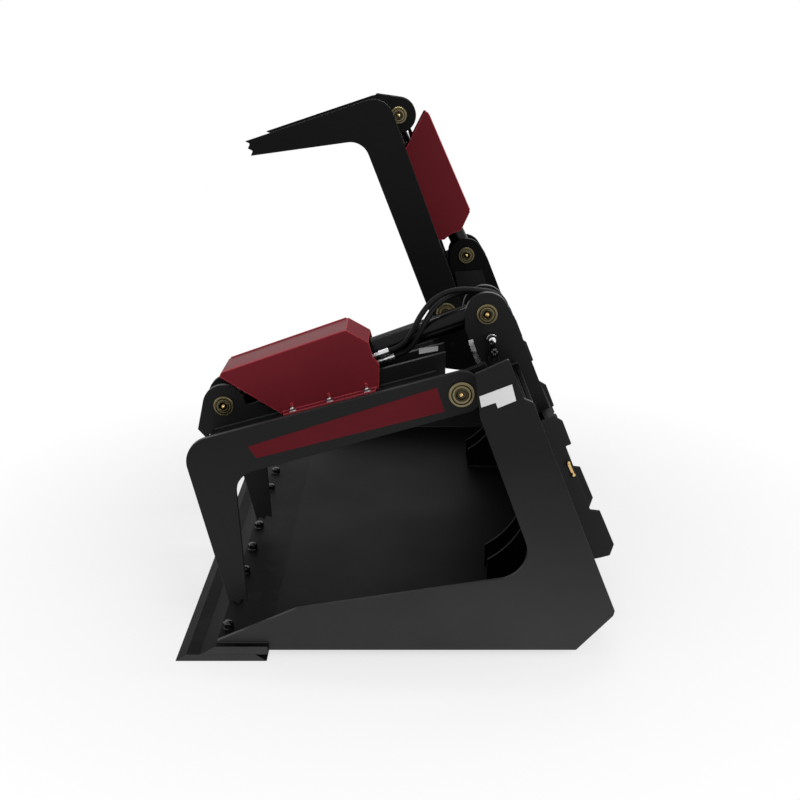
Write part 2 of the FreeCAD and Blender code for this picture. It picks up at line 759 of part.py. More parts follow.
def mount_plate_low():
    """The outer Y of the near mount plate."""
    return -MOUNT_WIDTH / 2


def mount_side_outline():
    """The side plate of the mount, with a hook block above and a flange block below."""
    face = MOUNT_STANDOFF
    return [
        (slope_point(MOUNT_FOOT + 2, 0), 0),
        (slope_point(MOUNT_HEIGHT, 0), 0),
        (slope_point(MOUNT_HEIGHT, face), 0),
        (slope_point(MOUNT_HEIGHT - 21, face + LIP_REACH), 3),
        (slope_point(MOUNT_HEIGHT - LIP_LENGTH, face + LIP_REACH), 4),
        (slope_point(MOUNT_HEIGHT - LIP_LENGTH, face), 0),
        (slope_point(FLANGE_TOP + 13, face), 0),
        (slope_point(FLANGE_TOP, face + FLANGE_REACH - 3), 3),
        (slope_point(31, face + FLANGE_REACH), 4),
        (slope_point(4, face + 5), 3),
        (slope_point(7, face - 22), 0),
    ]


def mount_sides():
    """The side plates of the near mount plate."""
    outer = mount_plate_low()
    inner = outer + MOUNT_PLATE_WIDTH - MOUNT_SIDE_THICKNESS
    return [plate(mount_side_outline(), y, MOUNT_SIDE_THICKNESS) for y in (outer, inner)]


def mount_clear():
    """Y range between the side plates of the near mount plate."""
    low = mount_plate_low() + MOUNT_SIDE_THICKNESS
    return low, MOUNT_PLATE_WIDTH - 2 * MOUNT_SIDE_THICKNESS


def mount_face():
    """The near face plate that the loader's coupler bears on, set back between its side plates."""
    low, width = mount_clear()
    face = MOUNT_FACE
    inner = face - MOUNT_PLATE_THICKNESS
    corners = sharp([
        slope_point(MOUNT_FOOT, inner),
        slope_point(MOUNT_HEIGHT, inner),
        slope_point(MOUNT_HEIGHT, face),
        slope_point(MOUNT_FOOT, face),
    ])
    return plate(corners, low, width)


def mount_lip():
    """The top lip: a bent bar behind the face plate, open downwards for the coupler."""
    low, width = mount_clear()
    face = MOUNT_FACE
    out = face + LIP_PLATE_REACH
    wall = LIP_THICKNESS
    top = MOUNT_HEIGHT
    corners = [
        (slope_point(top, face), 0),
        (slope_point(top - 2 * wall, out), 4),
        (slope_point(top - LIP_LENGTH, out), 0),
        (slope_point(top - LIP_LENGTH, out - wall), 0),
        (slope_point(top - 3 * wall, out - wall), 0),
        (slope_point(top - 3 * wall, face), 0),
    ]
    return plate(corners, low, width)


def mount_flange():
    """The bottom flange, with a slot for the coupler's locking pin."""
    low, width = mount_clear()
    face = MOUNT_FACE
    out = face + FLANGE_PLATE_REACH
    foot = MOUNT_FOOT
    wall = FLANGE_THICKNESS
    corners = [
        (slope_point(foot, face), 0),
        (slope_point(foot + wall / 2, out), 3),
        (slope_point(foot + 3 * wall / 2, out), 0),
        (slope_point(foot + wall, face), 0),
    ]
    flange = plate(corners, low, width)
    return flange.cut(slot_cutter())


def slot_cutter():
    """The long hole for a locking pin, running up the slope through the flange."""
    reach = SLOT_LENGTH / 2 - SLOT_RADIUS
    out = MOUNT_FACE + FLANGE_PLATE_REACH / 2
    y = -SLOT_SPACING / 2
    start = slope_point(-20, out)
    solids = []
    for side in (-1, 1):
        base = start + Vector(0, y + side * reach, 0)
        solids.append(Part.makeCylinder(SLOT_RADIUS, SLOT_CUT, base, UP_SLOPE))
    corner = start + Vector(0, y - reach, 0) - OUT_SLOPE * SLOT_RADIUS
    face_points = [
        corner,
        corner + Vector(0, 2 * reach, 0),
        corner + Vector(0, 2 * reach, 0) + OUT_SLOPE * (2 * SLOT_RADIUS),
        corner + OUT_SLOPE * (2 * SLOT_RADIUS),
        corner,
    ]
    solids.append(Part.Face(Part.makePolygon(face_points)).extrude(UP_SLOPE * SLOT_CUT))
    return solids[0].fuse(solids[1:])


# Grapple arms, built shut

def arm_outline():
    """An arm plate: straight arm, rounded knuckle and a tapering leg with a toothed tip."""
    corners = [
        (arm_point(-ARM_END_RADIUS - 4, ARM_ABOVE_PIVOT), ARM_END_RADIUS),
        (arm_point(ARM_REACH, ARM_ABOVE_PIVOT), ARM_OUTER_RADIUS),
    ]
    corners += tip_points()
    corners += [
        (arm_point(LEG_ROOT_REACH, -ARM_BELOW_ROOT), ARM_INNER_RADIUS),
        (arm_point(-ARM_END_RADIUS - 4, -ARM_BELOW_PIVOT), ARM_END_RADIUS),
    ]
    return corners


def tip_points():
    """The teeth of the leg's end, from its outer to its inner side."""
    points = []
    steps = 2 * TOOTH_COUNT
    for i in range(steps + 1):
        share = i / steps
        reach = TIP_OUTER_REACH + (TIP_INNER_REACH - TIP_OUTER_REACH) * share
        valley = i % 2 == 1
        lift = TOOTH_DEPTH if valley else 0
        points.append((arm_point(reach, -LEG_DROP + lift), TOOTH_RADIUS if valley else 0))
    return points


def arm_plate(y_low):
    """One arm plate with the bore of its bush."""
    body = plate(arm_outline(), y_low, ARM_PLATE_THICKNESS)
    bore = rod_y(PIVOT, PIVOT_PIN_RADIUS + PIVOT_BUSH_WALL, y_low - 1, y_low + ARM_PLATE_THICKNESS + 1)
    return body.cut(bore)


def arm_plate_places():
    """The lower Y of the near grapple's outer and inner arm plates."""
    outer = -GRAPPLE_CENTRE_Y - ARM_HALF_WIDTH
    inner = -GRAPPLE_CENTRE_Y + ARM_HALF_WIDTH - ARM_PLATE_THICKNESS
    return [outer, inner]


def arm_bushes():
    """Flanged bushes pressed into the arm plates."""
    bushes = []
    for y, way in zip(arm_plate_places(), (1, -1)):
        outer = PIVOT_PIN_RADIUS + PIVOT_BUSH_WALL
        inner = PIVOT_PIN_RADIUS + PIN_CLEARANCE
        sleeve = tube_y(PIVOT, outer, inner, y, y + ARM_PLATE_THICKNESS)
        start = y + ARM_PLATE_THICKNESS if way > 0 else y - 2.7
        flange = tube_y(PIVOT, outer + 8, inner, start, start + 2.7)
        bushes.append(sleeve.fuse(flange).removeSplitter())
    return bushes


def arm_inner_span():
    """The lower Y and the width between the near grapple's arm plates."""
    outer, inner = arm_plate_places()
    start = outer + ARM_PLATE_THICKNESS
    return start, inner - start


def deck_corners(rear):
    """The deck's outline from a rear reach to the lower end of its bent front."""
    top = DECK_HEIGHT
    wall = DECK_THICKNESS
    drop = DECK_BEND_REACH + DECK_THICKNESS / 2
    return [
        (arm_point(rear, top), 0),
        (arm_point(DECK_BEND_REACH, top), DECK_BEND_RADIUS),
        (arm_point(drop, -FRONT_PLATE_DROP), 0),
        (arm_point(drop - wall, -FRONT_PLATE_DROP), 0),
        (arm_point(DECK_BEND_REACH - wall, top - wall), DECK_BEND_RADIUS - wall),
        (arm_point(rear, top - wall), 0),
    ]


def arm_deck():
    """The deck plate between the arm plates, bent down at the front, slotted at its rear for the ribs."""
    start, width = arm_inner_span()
    deck = plate(deck_corners(DECK_REAR_REACH), start, width)
    for rib in arm_ribs():
        deck = deck.cut(rib)
    return deck


def rib_blank():
    """One deck rib: the rod pin's ear wraps over the deck's bend, the rear end steps below the deck."""
    head = ARM_EAR_RADIUS
    top = ROD_PIN + ARM_UP * head
    right = ROD_PIN - ARM_ALONG * head
    front = arm_point(ARM_EAR_FRONT, ARM_EAR_FRONT_HEIGHT)
    to_front = front - ROD_PIN
    lean = math.acos(head / to_front.Length)
    bearing = math.atan2(to_front.z, to_front.x) - lean
    tangent = ROD_PIN + Vector(head * math.cos(bearing), 0, head * math.sin(bearing))
    rib_top = ARM_ABOVE_PIVOT - RIB_INSET
    points = [
        right,
        arm_point(ROD_PIN_REACH - head, rib_top),
        arm_point(RIB_REAR_REACH, rib_top),
        arm_point(RIB_LOW_REACH, -RIB_LOW_HEIGHT),
        arm_point(RIB_LOW_REACH + RIB_LOW_LENGTH, -RIB_LOW_HEIGHT),
        arm_point(RIB_LOW_REACH + 2 * RIB_LOW_LENGTH, 0),
        arm_point(DECK_BEND_REACH, 0),
        arm_point(DECK_BEND_REACH, -ARM_EAR_FRONT_HEIGHT),
        front,
        tangent,
    ]
    edges = [Part.LineSegment(points[i], points[i + 1]).toShape() for i in range(len(points) - 1)]
    edges.append(Part.Arc(tangent, top, right).toShape())
    return Part.Face(Part.Wire(edges)).extrude(Vector(0, EAR_THICKNESS, 0))


def arm_ribs():
    """The two deck ribs that end in the ears of the rod pin; the rear part passes through the deck."""
    blank = rib_blank()
    deck = plate(deck_corners(DECK_REAR_REACH + RIB_LOW_LENGTH), -BUCKET_WIDTH, 2 * BUCKET_WIDTH)
    ribs = []
    for y in ear_places():
        rib = blank.translated(Vector(0, y, 0)).cut(deck)
        hole = rod_y(ROD_PIN, CYLINDER_PIN_RADIUS + PIN_CLEARANCE, y - 1, y + EAR_THICKNESS + 1)
        rib = rib.cut(hole)
        ribs.append(max(rib.Solids, key=lambda solid: solid.Volume))
    return ribs


def guard_profile():
    """The guard's side outline above the deck, as (reach, height) corners with radii."""
    base = DECK_HEIGHT
    return [
        (arm_point(GUARD_TOE_REACH, base), 0),
        (arm_point(GUARD_FRONT_REACH + 6, GUARD_FRONT_HEIGHT - 8), 5),
        (arm_point(GUARD_FRONT_REACH, GUARD_FRONT_HEIGHT), 5),
        (arm_point(GUARD_CREST_REACH, GUARD_CREST_HEIGHT), GUARD_BEND),
        (arm_point(GUARD_REAR_REACH, GUARD_REAR_HEIGHT), GUARD_BEND),
        (arm_point(GUARD_REAR_REACH, GUARD_REAR_HEIGHT - 38), GUARD_BEND),
        (arm_point(GUARD_NECK_REACH, GUARD_NECK_HEIGHT), GUARD_BEND),
        (arm_point(GUARD_HEEL_REACH, base), 0),
    ]


def guard():
    """The bent sheet cover over the cylinder: two sides, a folded top and bolted flanges."""
    wall = GUARD_THICKNESS
    low = -GRAPPLE_CENTRE_Y - GUARD_HALF_WIDTH
    outer = plate(guard_profile(), low, 2 * GUARD_HALF_WIDTH)
    inner_corners = guard_inner_profile()
    inner = plate(inner_corners, low + wall, 2 * (GUARD_HALF_WIDTH - wall))
    cover = outer.cut(inner)
    flanges = []
    for y in (low - GUARD_FLANGE, low + 2 * GUARD_HALF_WIDTH):
        corners = sharp([
            arm_point(GUARD_TOE_REACH - 8, DECK_HEIGHT),
            arm_point(GUARD_TOE_REACH - 8, DECK_HEIGHT + wall),
            arm_point(GUARD_HEEL_REACH + 8, DECK_HEIGHT + wall),
            arm_point(GUARD_HEEL_REACH + 8, DECK_HEIGHT),
        ])
        flanges.append(plate(corners, y, GUARD_FLANGE))
    cover = cover.fuse(flanges).removeSplitter()
    for place in guard_bolt_places():
        cover = cover.cut(arm_bolt(place, GUARD_BOLT_RADIUS + 0.3, 30))
    return cover


def guard_inner_profile():
    """The hollow of the guard: open at both ends, at the deck and above behind the crest."""
    wall = GUARD_THICKNESS
    base = DECK_HEIGHT - 20
    return sharp([
        arm_point(GUARD_FRONT_REACH + 60, base),
        arm_point(GUARD_FRONT_REACH + 60, GUARD_FRONT_HEIGHT - wall - 8),
        arm_point(GUARD_FRONT_REACH, GUARD_FRONT_HEIGHT - wall),
        arm_point(GUARD_CREST_REACH + 1, GUARD_CREST_HEIGHT - wall),
        arm_point(GUARD_CREST_REACH, GUARD_CREST_HEIGHT + 20),
        arm_point(GUARD_NECK_REACH - 60, GUARD_CREST_HEIGHT + 20),
        arm_point(GUARD_NECK_REACH - 60, base),
    ])


def guard_bolt_places():
    """(reach, Y) of each guard bolt."""
    places = []
    first = GUARD_TOE_REACH - 34
    last = GUARD_HEEL_REACH + 30
    for i in range(GUARD_BOLT_COUNT):
        reach = first + (last - first) * i / (GUARD_BOLT_COUNT - 1)
        for side in (-1, 1):
            y = -GRAPPLE_CENTRE_Y + side * (GUARD_HALF_WIDTH + GUARD_FLANGE / 2)
            places.append((reach, y))
    return places


def arm_bolt(place, radius, length):
    """A round along the arm's upward direction through the deck at (reach, Y)."""
    reach, y = place
    base = arm_point(reach, DECK_HEIGHT - length / 2) + Vector(0, y, 0)
    return Part.makeCylinder(radius, length, base, ARM_UP)


def guard_bolts():
    """Flange-head bolts that hold the guard to the deck, seated on its flanges."""
    bolts = []
    for reach, y in guard_bolt_places():
        seat = arm_point(reach, DECK_HEIGHT + GUARD_THICKNESS) + Vector(0, y, 0)
        head = Part.makeCylinder(2.1 * GUARD_BOLT_RADIUS, 2, seat, ARM_UP)
        dome = Part.makeCylinder(1.6 * GUARD_BOLT_RADIUS, 6, seat, ARM_UP)
        shank = Part.makeCylinder(GUARD_BOLT_RADIUS, GUARD_THICKNESS, seat - ARM_UP * GUARD_THICKNESS, ARM_UP)
        bolts.append(head.fuse([dome, shank]).removeSplitter())
    return group(bolts)


# Hydraulic cylinder, laid from the base pin towards the rod pin of a shut grapple

def cylinder_point(reach, side=0.0):
    """A point on the near cylinder's axis, measured from the base pin; side is upwards."""
    up = Vector(-CYLINDER_ALONG.z, 0, CYLINDER_ALONG.x) * -1
    centre = BASE_PIN + CYLINDER_ALONG * reach + up * side
    return Vector(centre.x, -GRAPPLE_CENTRE_Y, centre.z)


def eye(centre, toward, neck_reach, neck_radius):
    """A cross bored eye with a round neck towards a direction."""
    low = -GRAPPLE_CENTRE_Y - EYE_WIDTH / 2
    high = -GRAPPLE_CENTRE_Y + EYE_WIDTH / 2
    ring = rod_y(centre, EYE_RADIUS, low, high)
    base = Vector(centre.x, -GRAPPLE_CENTRE_Y, centre.z)
    neck = Part.makeCylinder(neck_radius, neck_reach, base, toward)
    body = ring.fuse(neck).removeSplitter()
    return body.cut(rod_y(centre, CYLINDER_PIN_RADIUS + PIN_CLEARANCE, low - 1, high + 1))


def barrel():
    """The barrel with its closed base and base eye."""
    tube = Part.makeCylinder(BARREL_RADIUS, BARREL_LENGTH - BARREL_BASE - GLAND_LENGTH, cylinder_point(BARREL_BASE), CYLINDER_ALONG)
    bore = Part.makeCylinder(BORE_RADIUS, BARREL_LENGTH, cylinder_point(BARREL_BASE + BASE_CAP_LENGTH), CYLINDER_ALONG)
    return tube.fuse(eye(BASE_PIN, CYLINDER_ALONG, BARREL_BASE + 4, BARREL_RADIUS - 2)).removeSplitter().cut(bore)


def gland():
    """The screwed gland at the rod end of the barrel."""
    start = BARREL_LENGTH - GLAND_LENGTH
    collar = Part.makeCylinder(GLAND_RADIUS, GLAND_LENGTH, cylinder_point(start), CYLINDER_ALONG)
    spigot = Part.makeCylinder(BORE_RADIUS - PIN_CLEARANCE, 20, cylinder_point(start - 20), CYLINDER_ALONG)
    bore = Part.makeCylinder(ROD_RADIUS + PIN_CLEARANCE, GLAND_LENGTH + 40, cylinder_point(start - 30), CYLINDER_ALONG)
    return collar.fuse(spigot).removeSplitter().cut(bore)


def rod():
    """The rod with its piston inside the barrel."""
    end = CYLINDER_SHUT - ROD_EYE_NECK - ROD_END_GAP
    start = BARREL_LENGTH - GLAND_LENGTH - 20 - PISTON_LENGTH - 2
    return Part.makeCylinder(ROD_RADIUS, end - start, cylinder_point(start), CYLINDER_ALONG)


def piston():
    """The piston on the rod's inner end."""
    start = BARREL_LENGTH - GLAND_LENGTH - 20 - PISTON_LENGTH - 2
    head = Part.makeCylinder(BORE_RADIUS - PIN_CLEARANCE, PISTON_LENGTH, cylinder_point(start - PISTON_LENGTH), CYLINDER_ALONG)
    return head


def rod_eye():
    """The eye screwed to the rod, on the grapple's rod pin."""
    return eye(ROD_PIN, CYLINDER_ALONG * -1, ROD_EYE_NECK, ROD_RADIUS + 6)


def barrel_side_point(reach, side, up):
    """A point beside the near barrel: along its axis, towards -Y and above the axis."""
    lift = Vector(CYLINDER_ALONG.z, 0, -CYLINDER_ALONG.x)
    point = BASE_PIN + CYLINDER_ALONG * reach + lift * up
    return Vector(point.x, -GRAPPLE_CENTRE_Y - side, point.z)


def barrel_lines():
    """Steel lines along the barrel from the gland's port, each ending in a crimped ferrule."""
    lines = []
    for side, up, end in HOSE_LINES:
        start = BARREL_LENGTH - GLAND_LENGTH - LINE_INSET
        length = start - end - FERRULE_LENGTH
        base = barrel_side_point(start, side, up)
        line = Part.makeCylinder(LINE_RADIUS, length, base, CYLINDER_ALONG * -1)
        ferrule_base = barrel_side_point(end + FERRULE_LENGTH, side, up)
        ferrule = Part.makeCylinder(FERRULE_RADIUS, FERRULE_LENGTH, ferrule_base, CYLINDER_ALONG * -1)
        inward = Vector(0, side, 0) - Vector(CYLINDER_ALONG.z, 0, -CYLINDER_ALONG.x) * up
        reach = inward.Length
        inward.normalize()
        head = barrel_side_point(start - LINE_INSET, side, up) - inward * PORT_RADIUS
        port = Part.makeCylinder(PORT_RADIUS, reach, head, inward).cut(barrel_round())
        lines.append(line.fuse([ferrule, port]).removeSplitter())
    return group(lines)


def barrel_round():
    """The barrel's outside, as a solid round."""
    return Part.makeCylinder(BARREL_RADIUS, BARREL_LENGTH - GLAND_LENGTH, cylinder_point(0), CYLINDER_ALONG)


def hose_tube(points):
    """A hose along straight runs joined by the largest tangent arcs that the runs allow."""
    starts, ends, arcs = [points[0]], [points[0]], [None]
    radii = []
    for i in range(1, len(points) - 1):
        before = points[i - 1] - points[i]
        after = points[i + 1] - points[i]
        shorter = min(before.Length, after.Length)
        half = before.getAngle(after) / 2
        radius = 0.45 * shorter * math.tan(half)
        reach = 0.45 * shorter
        before.normalize()
        after.normalize()
        bisector = (before + after).normalize()
        starts.append(points[i] + before * reach)
        ends.append(points[i] + after * reach)
        arcs.append(points[i] + bisector * (radius / math.sin(half) - radius))
        radii.append(radius)
    starts.append(points[-1])
    edges = []
    for i in range(len(starts) - 1):
        if arcs[i] is not None:
            edges.append(Part.Arc(starts[i], arcs[i], ends[i]).toShape())
        edges.append(Part.LineSegment(ends[i], starts[i + 1]).toShape())
    path = Part.Wire(edges)
    direction = (points[1] - points[0]).normalize()
    section = Part.Wire([Part.makeCircle(HOSE_RADIUS, points[0], direction)])
    tube = path.makePipeShell([section], True, False)
    print("hose length", round(path.Length, 1), "radii", [round(r) for r in radii],
          "volume ratio", round(tube.Volume / (path.Length * math.pi * HOSE_RADIUS ** 2), 4))
    return tube


def elbow_axis(i):
    """The middle of a coupling's elbow inside the tower, and the way in which it points."""
    angle = math.radians(ELBOW_ANGLES[i])
    y = ear_places()[0] + EAR_THICKNESS + ELBOW_INSETS[i]
    return Vector(COUPLINGS[i].x, y, COUPLINGS[i].z), Vector(math.cos(angle), 0, math.sin(angle))


def tower_fittings():
    """Bulkhead couplings through the near tower's outer ear, with elbows for the hoses inside."""
    fittings = []
    ear_low = ear_places()[0]
    inside = ear_low + EAR_THICKNESS
    for i, place in enumerate(COUPLINGS):
        centre, way = elbow_axis(i)
        outside = ear_low - COUPLING_REACH
        shank = rod_y(place, COUPLING_SHANK, outside, centre.y + COUPLING_SHANK + 1)
        nut_out = hexagon_y(place, COUPLING_RADIUS * 2.2, ear_low - 9, 9)
        nut_in = hexagon_y(place, COUPLING_RADIUS * 2.0, inside, 8)
        socket = rod_y(place, COUPLING_RADIUS, outside, outside + COUPLING_REACH - 12)
        stub = Part.makeCylinder(ELBOW_RADIUS, ELBOW_LENGTH, centre, way)
        fittings.append(shank.fuse([nut_out, nut_in, socket, stub]).removeSplitter())
    return group(fittings)


def hexagon_y(centre, across, y_low, height):
    """A hexagon nut along Y."""
    radius = across / math.sqrt(3)
    points = []
    for i in range(7):
        angle = math.radians(60 * i)
        points.append(Vector(centre.x + radius * math.cos(angle), y_low, centre.z + radius * math.sin(angle)))
    return Part.Face(Part.makePolygon(points)).extrude(Vector(0, height, 0))


def shut_to_open(shape, centre, angle):
    """A shut near piece mirrored to the far side and turned to its open place."""
    other = mirrored(shape)
    other.rotate(centre, Y_AXIS, angle)
    return other


def main():
    os.makedirs("parts", exist_ok=True)

    near_side = side_plate()
    save("side_plate_near", near_side)
    save("side_plate_far", mirrored(near_side))
    save("bucket_shell", bucket_shell())
    save("base_edge", base_edge())
    save("bolt_on_edge", bolt_on_edge())
    save("edge_bolts", edge_bolts())
    save("wear_runners", wear_runners())
    save("corner_gussets", corner_gussets())
    save("top_tube", top_tube())

    outer_ear, inner_ear = tower_ears()
    save("tower_ear_near_outer", with_coupling_holes(outer_ear, ear_places()[0]))
    save("tower_ear_near_inner", inner_ear)
    save("tower_ear_far_outer", mirrored(outer_ear))
    save("tower_ear_far_inner", mirrored(inner_ear))
    webs = tower_web()
    save("tower_webs", group(webs + [mirrored(web) for web in webs]))
    lugs = pivot_lugs()
    save("pivot_lugs", group(lugs + [mirrored(lug) for lug in lugs]))
    pins = pivot_pins()
    save("pivot_pins", group(pins + [mirrored(pin) for pin in pins]))
    base_pin = cylinder_pin(BASE_PIN)
    save("cylinder_base_pins", group([base_pin, mirrored(base_pin)]))

    face = mount_face()
    save("mount_plates", group([face, mirrored(face)]))
    lip = mount_lip()
    save("mount_lips", group([lip, mirrored(lip)]))
    flange = mount_flange()
    save("mount_flanges", group([flange, mirrored(flange)]))
    sides = mount_sides()
    save("mount_sides", group(sides + [mirrored(side) for side in sides]))

    outer_y, inner_y = arm_plate_places()
    arm_pieces = {
        "outer_plate": arm_plate(outer_y),
        "inner_plate": arm_plate(inner_y),
        "deck": arm_deck(),
        "ribs": group(arm_ribs()),
        "bushes": group(arm_bushes()),
        "guard": guard(),
        "guard_bolts": guard_bolts(),
        "rod_pin": cylinder_pin(ROD_PIN),
    }
    for name, shape in arm_pieces.items():
        save("near_" + name, shape)
        save("far_" + name, shut_to_open(shape, PIVOT, OPEN_ANGLE))

    for name, shape in (("barrel", barrel()), ("gland", gland())):
        save("near_" + name, shape)
        save("far_" + name, shut_to_open(shape, BASE_PIN, BARREL_SWING))

    for name, shape in (("rod", rod()), ("piston", piston())):
        save("near_" + name, shape)
        shorter = shape.translated(CYLINDER_ALONG * -STROKE)
        save("far_" + name, shut_to_open(shorter, BASE_PIN, BARREL_SWING))

    save("near_barrel_lines", barrel_lines())
    save("tower_fittings", tower_fittings())
    for i, (name, route) in enumerate((("near_hose_upper", HOSE_A_ROUTE), ("near_hose_lower", HOSE_B_ROUTE))):
        side, up, end = HOSE_LINES[i]
        start = barrel_side_point(end, side, up)
        first = barrel_side_point(end - HOSE_LEAD, side, up)
        centre, way = elbow_axis(i)
        finish = centre + way * ELBOW_LENGTH
        save(name, hose_tube([start, first] + route + [finish + way * HOSE_TAIL, finish]))

    near_eye = rod_eye()
    save("near_rod_eye", near_eye)
    far_eye = near_eye.translated(CYLINDER_ALONG * -STROKE)
    save("far_rod_eye", shut_to_open(far_eye, BASE_PIN, BARREL_SWING))

    print("cylinder", round(CYLINDER_SHUT, 3), round(CYLINDER_OPEN, 3), "stroke", round(STROKE, 3))
    print("barrel swing", round(BARREL_SWING, 4))


if __name__ == "__main__":
    main()
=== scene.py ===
import json
import math

import bmesh
import bpy
from bpy.props import FloatProperty, FloatVectorProperty, IntProperty, PointerProperty
from mathutils import Matrix, Vector


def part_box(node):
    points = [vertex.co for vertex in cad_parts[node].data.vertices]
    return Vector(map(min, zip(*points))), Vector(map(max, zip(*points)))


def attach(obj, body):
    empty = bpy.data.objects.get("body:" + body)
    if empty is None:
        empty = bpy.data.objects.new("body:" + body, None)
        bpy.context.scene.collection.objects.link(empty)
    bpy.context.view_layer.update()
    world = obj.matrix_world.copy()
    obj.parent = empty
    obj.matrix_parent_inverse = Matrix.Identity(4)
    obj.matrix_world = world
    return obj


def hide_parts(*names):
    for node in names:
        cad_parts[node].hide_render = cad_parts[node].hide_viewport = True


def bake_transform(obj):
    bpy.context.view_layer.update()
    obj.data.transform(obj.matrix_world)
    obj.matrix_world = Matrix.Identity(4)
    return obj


bl_info = {
    "name": "Scrap grapple finish",
    "version": (1, 0, 0),
    "blender": (4, 5, 0),
    "location": "3D View > Sidebar > Scrap Grapple",
    "description": "Finishes, hoses, welds, fasteners and stage of a scrap grapple bucket",
    "category": "Object",
}

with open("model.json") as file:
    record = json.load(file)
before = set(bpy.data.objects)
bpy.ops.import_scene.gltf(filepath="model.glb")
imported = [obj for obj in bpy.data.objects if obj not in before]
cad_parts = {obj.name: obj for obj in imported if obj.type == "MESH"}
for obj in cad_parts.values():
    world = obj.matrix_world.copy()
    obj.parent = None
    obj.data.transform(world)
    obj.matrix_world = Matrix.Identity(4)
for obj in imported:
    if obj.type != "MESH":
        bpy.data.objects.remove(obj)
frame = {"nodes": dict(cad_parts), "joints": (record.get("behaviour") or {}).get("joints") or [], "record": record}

# Joint places from the frame, in metres; X to the loader, Y across, Z up
JOINTS = {joint["name"]: joint for joint in frame["joints"]}
PIVOT = Vector(JOINTS["near_grapple"]["pos_m"])
BASE_PIN = Vector(JOINTS["near_barrel_swing"]["pos_m"])
ROD_PIN = Vector(JOINTS["near_rod_eye_turn"]["pos_m"])
CYLINDER_ALONG = Vector(JOINTS["near_rod_slide"]["axis"])
CYLINDER_UP = Vector((CYLINDER_ALONG.z, 0, -CYLINDER_ALONG.x))
OPEN_ANGLE = math.radians(JOINTS["near_grapple"]["range_deg"][1])
ROD_PIN_OPEN = Vector(JOINTS["far_rod_eye_turn"]["pos_m"])
STROKE = (ROD_PIN - BASE_PIN).length - (ROD_PIN_OPEN - BASE_PIN).length
BARREL_SWING = CYLINDER_ALONG.angle(ROD_PIN_OPEN - BASE_PIN)

# Slopes of the shut grapple and of the bucket's back
ARM_SLOPE = math.radians(15.4)
ARM_ALONG = Vector((-math.cos(ARM_SLOPE), 0, -math.sin(ARM_SLOPE)))
ARM_UP = Vector((-math.sin(ARM_SLOPE), 0, math.cos(ARM_SLOPE)))
BACK_SLOPE = math.radians(22.36)
UP_SLOPE = Vector((-math.sin(BACK_SLOPE), 0, math.cos(BACK_SLOPE)))
OUT_SLOPE = Vector((math.cos(BACK_SLOPE), 0, math.sin(BACK_SLOPE)))
HEEL = Vector((0.527, 0, 0.130))
Y_AXIS = Vector((0, 1, 0))

# Sizes that the finish shares with the plates under it
GRAPPLE_Y = 0.441
ARM_HALF_WIDTH = 0.272
EAR_HALF_SPAN = 0.055
EAR_THICKNESS = 0.016
INSIDE_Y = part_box("bucket_shell")[1].y
OUTER_ARM_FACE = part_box("near_outer_plate")[0].y
NEAR_SIDE_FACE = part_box("side_plate_near")[0].y
MOUNT_OUTER_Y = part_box("mount_sides")[0].y
MOUNT_INNER_Y = MOUNT_OUTER_Y + 0.330
BACK_HEIGHT = 0.591
TUBE_SIZE = 0.064
SHEET = 0.010
LUG_GAP = 0.003
OUTER_LUG = 0.025
INNER_LUG = 0.050
CAP_THICKNESS = 0.007

# How the near pieces lie, and how their far twins do
SIDES = (("near", Matrix.Identity(4)), ("far", Matrix.Scale(-1, 4, Y_AXIS)))

# Distances of the guard's bolts from the pivot along the arm
GUARD_BOLT_REACHES = [0.448, 0.345, 0.242]

# Hose routes in metres, the points of the hoses' tubes
HOSE_UPPER = [
    (0.0075, -0.485, 0.732), (0.0245, -0.488, 0.7595), (0.043, -0.481, 0.799), (0.073, -0.468, 0.836),
    (0.112, -0.461, 0.8595), (0.156, -0.459, 0.867), (0.200, -0.460, 0.863), (0.2375, -0.460, 0.8555),
    (0.2599, -0.460, 0.8373), (0.2698, -0.460, 0.8102),
]
HOSE_LOWER = [
    (0.022, -0.477, 0.7145), (0.0375, -0.4845, 0.742), (0.057, -0.479, 0.782), (0.082, -0.457, 0.818),
    (0.118, -0.440, 0.842), (0.160, -0.430, 0.854), (0.202, -0.4275, 0.8575), (0.2419, -0.428, 0.8517),
    (0.2643, -0.428, 0.8347), (0.2764, -0.428, 0.8093), (0.2756, -0.428, 0.7811),
]
HOSE_ENDS = [(0.040, -0.010, 0.276), (0.0265, -0.032, 0.268)]
HOSE_LEAD = 0.026
HOSE_TAIL = 0.0285
COUPLINGS = [Vector((0.231, 0, 0.745)), Vector((0.237, 0, 0.712))]
ELBOW_INSETS = [0.020, 0.052]
ELBOW_ANGLES = [math.radians(48.0), math.radians(59.4)]
ELBOW_LENGTH = 0.021


def slope_point(up, out, y=0.0):
    """A point on the bucket's back: up the slope, out from its face, across."""
    return HEEL + UP_SLOPE * up + OUT_SLOPE * out + Y_AXIS * y


def arm_point(reach, height, y=0.0):
    """A point on the shut near grapple: along the arm from its pivot, above it, across."""
    return PIVOT + ARM_ALONG * reach + ARM_UP * height + Y_AXIS * y


def barrel_point(reach, side, up):
    """A point beside the near barrel: along its axis, towards the near side, above the axis."""
    point = BASE_PIN + CYLINDER_ALONG * reach + CYLINDER_UP * up
    return Vector((point.x, -GRAPPLE_Y - side, point.z))


def turn_about(centre, angle):
    """A turn about a Y axis through a point."""
    return Matrix.Translation(centre) @ Matrix.Rotation(angle, 4, "Y") @ Matrix.Translation(-centre)


